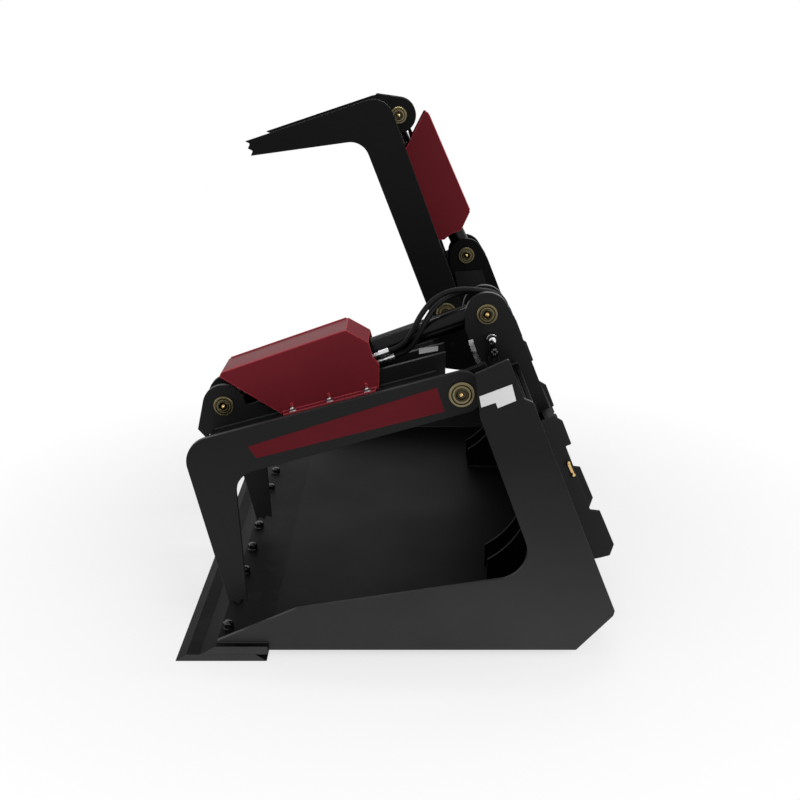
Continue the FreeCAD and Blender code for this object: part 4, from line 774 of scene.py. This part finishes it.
def nut_tree():
    """Sets a hexagon nut with a rounded bolt end and a washer on every point."""
    tree, start, end = geometry_tree("Hexagon nuts", [
        ("Across flats", "NodeSocketFloat", 0.0248), ("Height", "NodeSocketFloat", 0.014),
        ("Bolt radius", "NodeSocketFloat", 0.0083), ("Washer radius", "NodeSocketFloat", 0.0),
        ("Washer height", "NodeSocketFloat", 0.002), ("Tilt", "NodeSocketVector", (0.0, 0.0, 0.0)),
        ("Finish", "NodeSocketMaterial", None)])
    links = tree.links
    height, washer = start.outputs["Height"], start.outputs["Washer height"]

    def disc(vertices, radius, depth, low, top_share=1.0):
        """A prism of some sides standing at a height, with its top drawn in by a share."""
        kind = "GeometryNodeMeshCone"
        body = add_node(tree, kind, values={"Vertices": vertices})
        links.new(radius, body.inputs["Radius Bottom"])
        links.new(maths(tree, "MULTIPLY", radius, top_share), body.inputs["Radius Top"])
        links.new(depth, body.inputs["Depth"])
        lift = tree.nodes.new("ShaderNodeCombineXYZ")
        links.new(low, lift.inputs[2])
        move = tree.nodes.new("GeometryNodeTransform")
        links.new(body.outputs["Mesh"], move.inputs["Geometry"])
        links.new(lift.outputs[0], move.inputs["Translation"])
        return move.outputs[0]

    corner = maths(tree, "MULTIPLY", start.outputs["Across flats"], 0.57735)
    chamfer = maths(tree, "MULTIPLY", height, 0.16)
    shoulder = maths(tree, "SUBTRACT", height, chamfer)
    top = maths(tree, "ADD", washer, height)
    bolt = start.outputs["Bolt radius"]
    pieces = [
        disc(24, start.outputs["Washer radius"], washer, maths(tree, "MULTIPLY", washer, 0.0), 0.96),
        disc(6, corner, shoulder, washer),
        disc(6, corner, chamfer, maths(tree, "ADD", washer, shoulder), 0.86),
        disc(16, bolt, maths(tree, "MULTIPLY", bolt, 0.25), top, 0.92),
        disc(16, maths(tree, "MULTIPLY", bolt, 0.92), maths(tree, "MULTIPLY", bolt, 0.16),
             maths(tree, "ADD", top, maths(tree, "MULTIPLY", bolt, 0.25)), 0.55),
    ]
    joined = tree.nodes.new("GeometryNodeJoinGeometry")
    for piece in pieces:
        links.new(piece, joined.inputs[0])
    copies = tree.nodes.new("GeometryNodeInstanceOnPoints")
    links.new(start.outputs["Geometry"], copies.inputs["Points"])
    links.new(joined.outputs[0], copies.inputs["Instance"])
    links.new(start.outputs["Tilt"], copies.inputs["Rotation"])
    close_tree(tree, copies.outputs[0], start.outputs["Finish"], end, False)
    return tree


def grown(name, points, edges, tree, values, body, slot):
    """Runs a node tree over points and edges and keeps the result as a plain piece of one body."""
    mesh = bpy.data.meshes.new(name + "_base")
    mesh.from_pydata([tuple(point) for point in points], edges, [])
    holder = bpy.data.objects.new(name + "_base", mesh)
    bpy.context.scene.collection.objects.link(holder)
    modifier = holder.modifiers.new("tree", "NODES")
    modifier.node_group = tree
    for item in tree.interface.items_tree:
        if item.item_type == "SOCKET" and item.in_out == "INPUT" and item.name in values:
            modifier[item.identifier] = values[item.name]
    bpy.context.view_layer.update()
    seen = holder.evaluated_get(bpy.context.evaluated_depsgraph_get())
    result = bpy.data.meshes.new_from_object(seen)
    holder.modifiers.clear()
    bpy.data.objects.remove(holder)
    bpy.data.meshes.remove(mesh)
    return add_piece(name, result, values["Finish"], body, slot)


# Weld beads

def floor_and_back(y):
    """The inner corner line of the shell at a place across: floor, heel and back."""
    return [Vector((-0.335, y, 0.029)), Vector((0.428, y, 0.029)), Vector((0.452, y, 0.043)),
            slope_point(0.004, -0.016, y), slope_point(0.03, -0.010, y), slope_point(0.525, -0.010, y)]


def ear_sides():
    """The Y of the four faces of the near tower's ears."""
    outer, inner = -GRAPPLE_Y - EAR_HALF_SPAN, -GRAPPLE_Y + EAR_HALF_SPAN
    return [outer, outer + EAR_THICKNESS, inner - EAR_THICKNESS, inner]


def bucket_seams():
    """The seams of the near half of the bucket."""
    top, tube = BACK_HEIGHT, TUBE_SIZE
    under_tube = [slope_point(top - tube, -SHEET, y) for y in (-INSIDE_Y, -0.001)]
    seams = [floor_and_back(-INSIDE_Y), under_tube]
    seams.append([Vector((-0.468, NEAR_SIDE_FACE, 0.041)), Vector((-0.343, NEAR_SIDE_FACE, 0.041))])
    for y in ear_sides():
        seams.append([slope_point(0.012, 0.0, y), slope_point(0.469, 0.0, y)])
        seams.append([slope_point(top - tube, -SHEET - tube, y), slope_point(top, -SHEET - tube, y),
                      slope_point(top, -0.012, y), slope_point(top, 0.0, y)])
    middle = (EAR_THICKNESS - SHEET) / 2
    for index in (0, 2):
        low = ear_sides()[index] + middle
        for y in (low, low + SHEET):
            seams.append([Vector((0.24, y, 0.029)), Vector((0.425, y, 0.029)), slope_point(0.03, -SHEET, y),
                          slope_point(0.244, -SHEET, y)])
    lug_outer = OUTER_ARM_FACE + EAR_THICKNESS + LUG_GAP
    lug_inner = -GRAPPLE_Y + ARM_HALF_WIDTH - EAR_THICKNESS - LUG_GAP
    for y in (lug_outer, lug_outer + OUTER_LUG, lug_inner - INNER_LUG, lug_inner):
        seams.append([slope_point(top - tube, -SHEET - tube, y), slope_point(top, -SHEET - tube, y)])
        seams.append([slope_point(top - tube - 0.055, -SHEET, y), slope_point(top - tube, -SHEET, y)])
    for y in (MOUNT_OUTER_Y + 0.010, MOUNT_INNER_Y - 0.010):
        seams.append([slope_point(0.012, 0.022, y), slope_point(0.436, 0.022, y)])
    return seams


def arm_seams():
    """The seams of the near grapple: deck to arm plates, ribs to deck."""
    inside = (OUTER_ARM_FACE + EAR_THICKNESS, -GRAPPLE_Y + ARM_HALF_WIDTH - EAR_THICKNESS)
    seams = []
    for y in inside:
        seams.append([arm_point(0.052, 0.010, y), arm_point(0.672, 0.010, y), arm_point(0.694, 0.001, y),
                      arm_point(0.699, -0.03, y), arm_point(0.701, -0.128, y)])
        seams.append([arm_point(0.052, 0.0, y), arm_point(0.660, 0.0, y), arm_point(0.688, -0.03, y)])
    for y in ear_sides():
        seams.append([arm_point(0.053, 0.010, y), arm_point(0.672, 0.010, y)])
    return seams


def seam_mesh(seams, matrices):
    """Points and edges of all seams, placed by each matrix."""
    points, edges = [], []
    for matrix in matrices:
        for seam in seams:
            first = len(points)
            points += [matrix @ point for point in seam]
            edges += [(first + i, first + i + 1) for i in range(len(seam) - 1)]
    return points, edges


class SCRAPGRAPPLE_OT_welds(bpy.types.Operator):
    """Draws the weld beads of the bucket, its towers and both grapples"""
    bl_idname = "scrapgrapple.welds"
    bl_label = "Draw weld beads"

    def execute(self, context):
        tree = weld_tree()
        near = Matrix.Identity(4)
        jobs = [("bucket_welds", bucket_seams(), (near, FAR_PLACE["bucket"]), "bucket"),
                ("near_arm_welds", arm_seams(), (near,), "near_arm"),
                ("far_arm_welds", arm_seams(), (FAR_PLACE["arm"],), "far_arm")]
        for seed, (name, seams, matrices, body) in enumerate(jobs):
            points, edges = seam_mesh(seams, matrices)
            values = {"Bead radius": sizes().bead_radius, "Seed": 3.0 + seed, "Finish": FINISHES["weld"]}
            grown(name, points, edges, tree, values, body, "black_coat")
        add_piece("edge_fillet", mesh_from(edge_fillet), FINISHES["inner"], "bucket", "black_coat")
        return {"FINISHED"}


def edge_fillet(work):
    """The ground fillet weld between the base edge and the floor."""
    section = [(-0.3412, 0.0407), (-0.3412, 0.0285), (-0.19, 0.0285), (-0.19, 0.0292)]
    prism(work, [Vector((x, -INSIDE_Y, z)) for x, z in section], Y_AXIS * (2 * INSIDE_Y))


# Nuts and bolts

class SCRAPGRAPPLE_OT_fasteners(bpy.types.Operator):
    """Sets the nuts on the cutting edge and the bolts on the cylinder guards"""
    bl_idname = "scrapgrapple.fasteners"
    bl_label = "Set fasteners"

    def execute(self, context):
        tree = nut_tree()
        low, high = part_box("edge_bolts")
        row = [Vector(((low.x + high.x) / 2, (i - 5) * 0.1524, 0.0412)) for i in range(11)]
        grown("edge_nuts", row, [], tree, {
            "Across flats": 0.0246, "Height": 0.0134, "Bolt radius": 0.0086, "Washer radius": 0.0152,
            "Washer height": 0.0016, "Finish": FINISHES["fastener"]}, "bucket", "bright_zinc")
        near = []
        for reach in GUARD_BOLT_REACHES:
            for side in (-1, 1):
                near.append(arm_point(reach, 0.0141, -GRAPPLE_Y + side * 0.085))
        tilt = Matrix.Rotation(-ARM_SLOPE, 4, "Y")
        for name, matrix in (("near", Matrix.Identity(4)), ("far", FAR_PLACE["arm"])):
            up = (matrix.to_3x3() @ (tilt.to_3x3() @ Vector((0, 0, 1)))).normalized()
            turn = Vector((0, 0, 1)).rotation_difference(up).to_euler()
            grown(name + "_guard_nuts", [matrix @ point for point in near], [], tree, {
                "Across flats": 0.0165, "Height": 0.0062, "Bolt radius": 0.0052, "Washer radius": 0.0112,
                "Washer height": 0.0022, "Tilt": tuple(turn), "Finish": FINISHES["guard bolt"]},
                name + "_arm", "bright_zinc")
        return {"FINISHED"}


# Pins

def rim_profile(radius, thickness):
    """Half section of a pin cap's washer: chamfered rim, turned groove, flat land, recess."""
    return [(0.0, 0.0), (0.0, radius - 0.0006), (0.0006, radius), (thickness - 0.0012, radius),
            (thickness, radius - 0.0012), (thickness, radius * 0.81), (thickness - 0.0006, radius * 0.80),
            (thickness - 0.004, radius * 0.79), (thickness - 0.004, radius * 0.725),
            (thickness - 0.0009, radius * 0.715), (thickness - 0.0003, radius * 0.70),
            (thickness - 0.0003, radius * 0.55), (thickness - 0.003, radius * 0.55), (thickness - 0.003, 0.0)]


def ring_profile(radius, thickness):
    """Half section of the round ring inside a pin cap, with a dished middle."""
    rise = [(-0.0028, 0.0), (-0.0028, 0.33), (0.0, 0.34), (0.0016, 0.365), (0.0026, 0.41), (0.003, 0.455),
            (0.0026, 0.50), (0.0012, 0.54), (-0.0003, 0.555), (-0.0035, 0.555), (-0.0035, 0.0)]
    return [(thickness + up, radius * share) for up, share in rise]


def washer_profile(radius, thickness):
    """Half section of a plain washer with a broken edge."""
    return [(0, 0), (0, radius), (thickness - 0.001, radius), (thickness, radius - 0.001), (thickness, 0)]


def groove_shade_profile(radius):
    """Closed section of a black ring that lies in a pin cap's groove as painted shade."""
    shares = [(0.0032, 0.728), (0.0032, 0.787), (0.0052, 0.787), (0.0052, 0.728), (0.0032, 0.728)]
    return [(along, radius * share) for along, share in shares]


END_PROFILES = {"cap": rim_profile, "washer": washer_profile}
FITTING_PROFILE = [(0.0, 0.0), (0.0, 0.0046), (0.0034, 0.0046), (0.0038, 0.0030), (0.0046, 0.0027),
                   (0.0062, 0.0035), (0.0078, 0.0033), (0.0090, 0.0016), (0.0091, 0.0)]


def near_pins():
    """Each near pin: name, body, centre, radius, cap radius, its two end faces, how each end is made."""
    pivot_face = OUTER_ARM_FACE - 0.0003
    inner_face = -GRAPPLE_Y + ARM_HALF_WIDTH + 0.0003
    lug_face = OUTER_ARM_FACE + EAR_THICKNESS + LUG_GAP + OUTER_LUG
    lug_end = inner_face - 0.0003 - EAR_THICKNESS - LUG_GAP - INNER_LUG + 0.0103
    ears = (-GRAPPLE_Y - EAR_HALF_SPAN, -GRAPPLE_Y + EAR_HALF_SPAN)
    return [
        ("pivot_outer", "bucket", PIVOT, 0.022, 0.032, pivot_face, lug_face, ("cap", "washer")),
        ("pivot_inner", "bucket", PIVOT, 0.022, 0.032, lug_end, inner_face, ("", "cap")),
        ("cylinder_base", "bucket", BASE_PIN, 0.016, 0.027, *ears, ("cap", "cap")),
        ("rod", "arm", ROD_PIN, 0.016, 0.027, *ears, ("cap", "cap")),
    ]


class SCRAPGRAPPLE_OT_pins(bpy.types.Operator):
    """Turns the pins with their ringed caps and grease fittings"""
    bl_idname = "scrapgrapple.pins"
    bl_label = "Turn pins"

    def execute(self, context):
        steps = sizes().bolt_steps
        made = {}
        for side in ("near", "far"):
            for name, body, centre, radius, cap, low, high, kinds in near_pins():
                where = body if body == "bucket" else side + "_" + body
                matrix = Matrix.Identity(4) if side == "near" else FAR_PLACE[body]
                ends = [(Vector((centre.x, low, centre.z)), -Y_AXIS, kinds[0]),
                        (Vector((centre.x, high, centre.z)), Y_AXIS, kinds[1])]

                caps = [(base, way) for base, way, kind in ends if kind == "cap"]
                length = high - low

                def turned(work):
                    lathe(work, ends[0][0], Y_AXIS, [
                        (0, 0), (0, radius - 0.001), (0.001, radius), (length - 0.001, radius),
                        (length, radius - 0.001), (length, 0)], steps)
                    for base, way, kind in ends:
                        if kind:
                            lathe(work, base, way, END_PROFILES[kind](cap, CAP_THICKNESS), steps)

                def groove_shade_rings(work):
                    for base, way in caps:
                        lathe(work, base, way, groove_shade_profile(cap), steps)

                def rings(work):
                    for base, way in caps:
                        lathe(work, base, way, ring_profile(cap, CAP_THICKNESS), steps)

                def fittings(work):
                    for base, way in caps:
                        lathe(work, base + way * 0.0042, way, FITTING_PROFILE, 20)

                start = side + "_" + name
                piece = add_piece(start + "_pin_turned", mesh_from(turned, matrix), FINISHES["yellow zinc"],
                                  where, "yellow_zinc")
                made.setdefault(name.split("_")[0], []).append(piece)
                # Painted shade: a black ring lies in each cap's groove.
                add_piece(start + "_groove_shade_rings", mesh_from(groove_shade_rings, matrix), FINISHES["rubber"],
                          where, "hose_rubber")
                # The rings wear the plating darkened as a painted reflection.
                add_piece(start + "_rings", mesh_from(rings, matrix, 50), FINISHES["dark reflection plating"],
                          where, "yellow_zinc")
                add_piece(start + "_grease_fittings", mesh_from(fittings, matrix), FINISHES["brass"],
                          where, "yellow_zinc")
        for piece in made["pivot"]:
            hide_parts("pivot_pins")
        for piece in made["cylinder"]:
            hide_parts("cylinder_base_pins")
        for side, piece in zip(("near", "far"), made["rod"]):
            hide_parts(side + "_rod_pin")
        return {"FINISHED"}


# Films and small fittings

def film(name, corners, y, material, body, slot, thickness=None):
    """A thin flat film on a face that looks to the near side."""
    depth = thickness or sizes().film
    mesh = mesh_from(lambda work: prism(work, [Vector((x, y, z)) for x, z in corners], Y_AXIS * -depth))
    return add_piece(name, mesh, material, body, slot)


class SCRAPGRAPPLE_OT_films(bpy.types.Operator):
    """Lays the red stripe and the blank stickers"""
    bl_idname = "scrapgrapple.films"
    bl_label = "Lay stripe and stickers"

    def execute(self, context):
        face = OUTER_ARM_FACE
        stripe = [(-0.388, 0.521), (-0.369, 0.490), (0.101, 0.613), (0.0815, 0.675)]
        film("near_stripe", stripe, face, FINISHES["stripe"], "near_arm", "red_coat")
        side_sticker = [(0.1753, 0.6919), (0.2504, 0.7218), (0.2615, 0.6819), (0.219, 0.6635),
                        (0.2139, 0.677), (0.1807, 0.6652)]
        film("side_sticker", side_sticker, NEAR_SIDE_FACE, FINISHES["sticker"], "bucket", None)
        rib_face = ear_sides()[2]
        film("rib_sticker", [(0.043, 0.674), (0.095, 0.684), (0.095, 0.697), (0.043, 0.690)], rib_face,
             FINISHES["sticker"], "near_arm", None)
        return {"FINISHED"}


class SCRAPGRAPPLE_OT_fittings(bpy.types.Operator):
    """Makes the coupling caps, the ear's steel strap and the mount's latch"""
    bl_idname = "scrapgrapple.fittings"
    bl_label = "Make small fittings"

    def execute(self, context):
        steps = sizes().bolt_steps
        ear_face = -GRAPPLE_Y - EAR_HALF_SPAN
        first, second = COUPLINGS

        def dome(work):
            lathe(work, Vector((first.x, ear_face - 0.009, first.z)), -Y_AXIS, [
                (0.0, 0.0), (0.0, 0.0128), (0.0045, 0.0134), (0.010, 0.0134), (0.0105, 0.0122),
                (0.012, 0.0122), (0.0125, 0.0134), (0.0195, 0.0132), (0.0235, 0.0115), (0.0255, 0.0080),
                (0.0258, 0.0)], steps)

        add_piece("coupling_cap", mesh_from(dome), FINISHES["chrome"], "bucket", "bright_zinc")

        def tee(work):
            low = ear_face - 0.034
            for wide, high in ((0.0042, 0.0085), (0.0085, 0.0035)):
                middle = Vector((second.x, low, second.z + 0.004))
                corners = [(-wide, -high), (wide, -high), (wide, high), (-wide, high)]
                prism(work, [middle + Vector((x, 0, z)) for x, z in corners], Y_AXIS * -0.0035)

        add_piece("coupling_tee", mesh_from(tee), FINISHES["bright zinc"], "bucket", "bright_zinc")

        def plug(work):
            lathe(work, Vector((0.2378, ear_face - 0.0002, 0.690)), -Y_AXIS, [
                (0.0, 0.0), (0.0, 0.0150), (0.012, 0.0150), (0.0135, 0.0138), (0.0135, 0.0095),
                (0.0110, 0.0090), (0.0110, 0.0060), (0.016, 0.0052), (0.016, 0.0)], steps)

        add_piece("coupling_plug", mesh_from(plug), FINISHES["rubber"], "bucket", "hose_rubber")

        lug_face = -GRAPPLE_Y + ARM_HALF_WIDTH - EAR_THICKNESS - LUG_GAP - INNER_LUG

        def stopper(work):
            lathe(work, Vector((PIVOT.x, lug_face + 0.001, PIVOT.z)), Y_AXIS, [
                (0.0, 0.0), (0.0, 0.0057), (0.006, 0.0057), (0.006, 0.0)], 24)

        for side, matrix in SIDES:
            add_piece(side + "_lug_stopper", mesh_from(stopper, matrix), FINISHES["rubber"],
                      "bucket", "hose_rubber")

        def stiffener(work):
            y = GRAPPLE_Y - EAR_HALF_SPAN
            box = [(0.183, 0.751), (0.195, 0.690), (0.292, 0.688), (0.269, 0.758)]
            prism(work, [Vector((x, y, z)) for x, z in box], Y_AXIS * -0.008)
            for (x0, z0), (x1, z1) in ((box[0], box[1]), (box[3], box[2])):
                start, stop = Vector((x0, y, z0)), Vector((x1, y, z1))
                across = Vector((z0 - z1, 0, x1 - x0)).normalized() * 0.003
                prism(work, [start - across, stop - across, stop + across, start + across], Y_AXIS * -0.012)

        add_piece("far_tower_stiffener", mesh_from(stiffener), FINISHES["arm"], "bucket", "black_coat")

        bow = [(0.1762, 0.7400, 0.002), (0.1800, 0.7250, 0.004), (0.1858, 0.7090, 0.006),
               (0.1930, 0.6920, 0.006), (0.2020, 0.6730, 0.005), (0.2130, 0.6540, 0.002)]

        def strap(work):
            for (x0, z0, y0), (x1, z1, y1) in zip(bow, bow[1:]):
                across = Vector((z1 - z0, 0, x0 - x1)).normalized() * 0.0062
                start, stop = Vector((x0, ear_face - y0, z0)), Vector((x1, ear_face - y1, z1))
                corners = [start - across, stop - across, stop + across, start + across]
                prism(work, corners, Y_AXIS * -0.0022)

        add_piece("ear_strap", mesh_from(strap), FINISHES["bright zinc"], "bucket", "bright_zinc")

        def latch(work):
            low = Vector((0.4367, MOUNT_OUTER_Y, 0.424))
            high = Vector((0.4520, MOUNT_OUTER_Y, 0.390))
            along = (high - low).normalized()
            across = Vector((along.z, 0, -along.x)) * 0.0035
            prism(work, [low - across, high - across, high + across, low + across], Y_AXIS * -0.004)
            for place in (low, high):
                lathe(work, place - Y_AXIS * 0.004, -Y_AXIS, [
                    (0, 0), (0, 0.005), (0.005, 0.005), (0.007, 0.003), (0.007, 0)], 24)

        add_piece("mount_latch_plate", mesh_from(latch), FINISHES["brass"], "bucket", "yellow_zinc")
        return {"FINISHED"}


# Guard details

def guard_details(work):
    """The folded rear of the near guard and the pressed gussets over its bolts."""
    crest, rear = (0.252, 0.1838), (0.2045, 0.1363)
    inward = (0.0027, -0.0027)
    section = [crest, rear]
    section += [(reach + inward[0], height + inward[1]) for reach, height in (rear, crest)]
    prism(work, [arm_point(*place, -GRAPPLE_Y - 0.0715) for place in section], Y_AXIS * 0.143)
    for reach in GUARD_BOLT_REACHES:
        for way in (-1, 1):
            wall = -GRAPPLE_Y + way * 0.0718
            foot = arm_point(reach - 0.003, 0.0138, wall)
            corners = [foot, foot + Y_AXIS * (way * 0.011), foot + ARM_UP * 0.019]
            prism(work, corners, ARM_ALONG * 0.006)


def guard_fold_highlights(work):
    """Thin bright red tubes along the near guard's folds, roof to wall and wall to flange: a painted highlight of
    the rounded bends.
    """
    for way in (-1, 1):
        wall, rim = -GRAPPLE_Y + way * 0.0722, -GRAPPLE_Y + way * 0.0975
        lines = [((0.598, 0.1616), (0.258, 0.1850), wall), ((0.478, 0.0145), (0.216, 0.0145), wall),
                 ((0.473, 0.0135), (0.221, 0.0135), rim)]
        for (r0, h0), (r1, h1), y in lines:
            tube_along(work, [arm_point(r0, h0, y), arm_point(r1, h1, y)], 0.0018, 8)


class SCRAPGRAPPLE_OT_guards(bpy.types.Operator):
    """Closes the rear of both cylinder guards and presses their gussets"""
    bl_idname = "scrapgrapple.guards"
    bl_label = "Make guard details"

    def execute(self, context):
        for side, matrix in (("near", Matrix.Identity(4)), ("far", FAR_PLACE["arm"])):
            add_piece(side + "_guard_details", mesh_from(guard_details, matrix), FINISHES[side + "_guard"],
                      side + "_arm", "red_coat")
            # Painted highlight: bright red tubes along the folds.
            add_piece(side + "_guard_fold_highlights", mesh_from(guard_fold_highlights, matrix), FINISHES["fold"],
                      side + "_arm", "red_coat")
        return {"FINISHED"}


# Stage

class SCRAPGRAPPLE_OT_stage(bpy.types.Operator):
    """Makes the pale floor, the soft lamps, the world and the camera"""
    bl_idname = "scrapgrapple.stage"
    bl_label = "Make stage"

    def execute(self, context):
        scene = context.scene
        floor = bpy.data.meshes.new("floor")
        reach = 14.0
        floor.from_pydata([(-reach, -reach, 0), (reach, -reach, 0), (reach, reach, 0), (-reach, reach, 0)],
                          [], [(0, 1, 2, 3)])
        plane = bpy.data.objects.new("floor", floor)
        scene.collection.objects.link(plane)
        plane.data.materials.append(floor_material())

        world = bpy.data.worlds.new("studio")
        world.use_nodes = True
        tree = world.node_tree
        sky = tree.nodes["Background"]
        sky.inputs["Color"].default_value = (1, 1, 1, 1)
        seen = seen_ray(tree)
        strength = remap(tree, seen, 0.0, 1.0, WORLD_STRENGTH, 1.0)
        tree.links.new(strength, sky.inputs["Strength"])
        scene.world = world

        for name, place, aim, power, size in LAMPS:
            data = bpy.data.lights.new(name, "AREA")
            data.energy = power
            data.shape = "RECTANGLE"
            data.size, data.size_y = size
            lamp = bpy.data.objects.new(name, data)
            lamp.location = place
            lamp.rotation_euler = (Vector(aim) - Vector(place)).to_track_quat("-Z", "Y").to_euler()
            scene.collection.objects.link(lamp)

        lens = bpy.data.cameras.new("camera")
        lens.sensor_width = 36.0
        lens.lens = 46.125
        lens.clip_end = 60.0
        camera = bpy.data.objects.new("camera", lens)
        camera.location = (-0.009, -3.107, 1.4195)
        camera.rotation_euler = (math.radians(72.03), 0, 0)
        scene.collection.objects.link(camera)
        scene.camera = camera
        scene.view_settings.view_transform = "Standard"
        return {"FINISHED"}


WORLD_STRENGTH = 0.44
LAMPS = [
    ("key softbox", (1.9, -3.1, 2.5), (0, 0, 0.2), 50.0, (2.0, 2.0)),
    ("top strip", (0.0, 0.35, 3.3), (0.0, 0, 0.3), 24.0, (2.4, 0.14)),
    ("left softbox", (-3.4, -0.8, 1.6), (0, 0, 0.4), 7.0, (1.8, 1.8)),
    ("rear softbox", (1.2, 3.4, 2.2), (0, 0, 0.3), 14.0, (2.2, 2.2)),
]
# Share of the floor that stays white beside the object and far away, and where it changes
FLOOR_NEAR_SHARE, FLOOR_NEAR, FLOOR_FAR = 0.66, 0.75, 1.6


def seen_ray(tree):
    """1 for a ray that shows the background: straight, mirrored or through glass."""
    path = add_node(tree, "ShaderNodeLightPath")
    mirror = maths(tree, "MAXIMUM", path.outputs["Is Glossy Ray"], path.outputs["Is Transmission Ray"])
    return maths(tree, "MAXIMUM", path.outputs["Is Camera Ray"], mirror)


def floor_material():
    """A pale floor that keeps the object's shadow and fades to the white backdrop away from it."""
    material = bpy.data.materials.new("studio floor")
    material.use_nodes = True
    tree = material.node_tree
    surface = tree.nodes["Principled BSDF"]
    surface.inputs["Base Color"].default_value = (0.90, 0.90, 0.90, 1)
    surface.inputs["Roughness"].default_value = 0.7
    surface.inputs["Specular IOR Level"].default_value = 0.1
    place = add_node(tree, "ShaderNodeTexCoord").outputs["Object"]
    far = add_node(tree, "ShaderNodeVectorMath", operation="LENGTH")
    tree.links.new(place, far.inputs[0])
    fade = remap(tree, far.outputs["Value"], FLOOR_NEAR, FLOOR_FAR, FLOOR_NEAR_SHARE, 1.0)
    share = maths(tree, "MULTIPLY", fade, seen_ray(tree))
    white = add_node(tree, "ShaderNodeEmission", values={"Strength": 1.0})
    blend = tree.nodes.new("ShaderNodeMixShader")
    tree.links.new(share, blend.inputs[0])
    tree.links.new(surface.outputs[0], blend.inputs[1])
    tree.links.new(white.outputs[0], blend.inputs[2])
    tree.links.new(blend.outputs[0], tree.nodes["Material Output"].inputs["Surface"])
    return material


# Panel and registration

OPERATORS = [
    SCRAPGRAPPLE_OT_finishes,
    SCRAPGRAPPLE_OT_plates,
    SCRAPGRAPPLE_OT_hoses,
    SCRAPGRAPPLE_OT_pins,
    SCRAPGRAPPLE_OT_welds,
    SCRAPGRAPPLE_OT_fasteners,
    SCRAPGRAPPLE_OT_films,
    SCRAPGRAPPLE_OT_fittings,
    SCRAPGRAPPLE_OT_guards,
    SCRAPGRAPPLE_OT_stage,
]


class SCRAPGRAPPLE_PT_panel(bpy.types.Panel):
    """Lists the steps that finish the scrap grapple"""
    bl_idname = "SCRAPGRAPPLE_PT_panel"
    bl_label = "Scrap Grapple"
    bl_space_type = "VIEW_3D"
    bl_region_type = "UI"
    bl_category = "Scrap Grapple"

    def draw(self, context):
        column = self.layout.column()
        for group in (context.scene.scrap_grapple_sizes, context.scene.scrap_grapple_colours):
            for key in group.__annotations__:
                column.prop(group, key)
        for operator in OPERATORS:
            column.operator(operator.bl_idname)


CLASSES = [ScrapGrappleSizes, ScrapGrappleColours, *OPERATORS, SCRAPGRAPPLE_PT_panel]


def register():
    for cls in CLASSES:
        bpy.utils.register_class(cls)
    bpy.types.Scene.scrap_grapple_sizes = PointerProperty(type=ScrapGrappleSizes)
    bpy.types.Scene.scrap_grapple_colours = PointerProperty(type=ScrapGrappleColours)


def unregister():
    del bpy.types.Scene.scrap_grapple_colours
    del bpy.types.Scene.scrap_grapple_sizes
    for cls in reversed(CLASSES):
        bpy.utils.unregister_class(cls)


def main():
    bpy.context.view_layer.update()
    register()
    for operator in OPERATORS:
        group, name = operator.bl_idname.split(".")
        getattr(getattr(bpy.ops, group), name)()


if __name__ == "__main__":
    main()
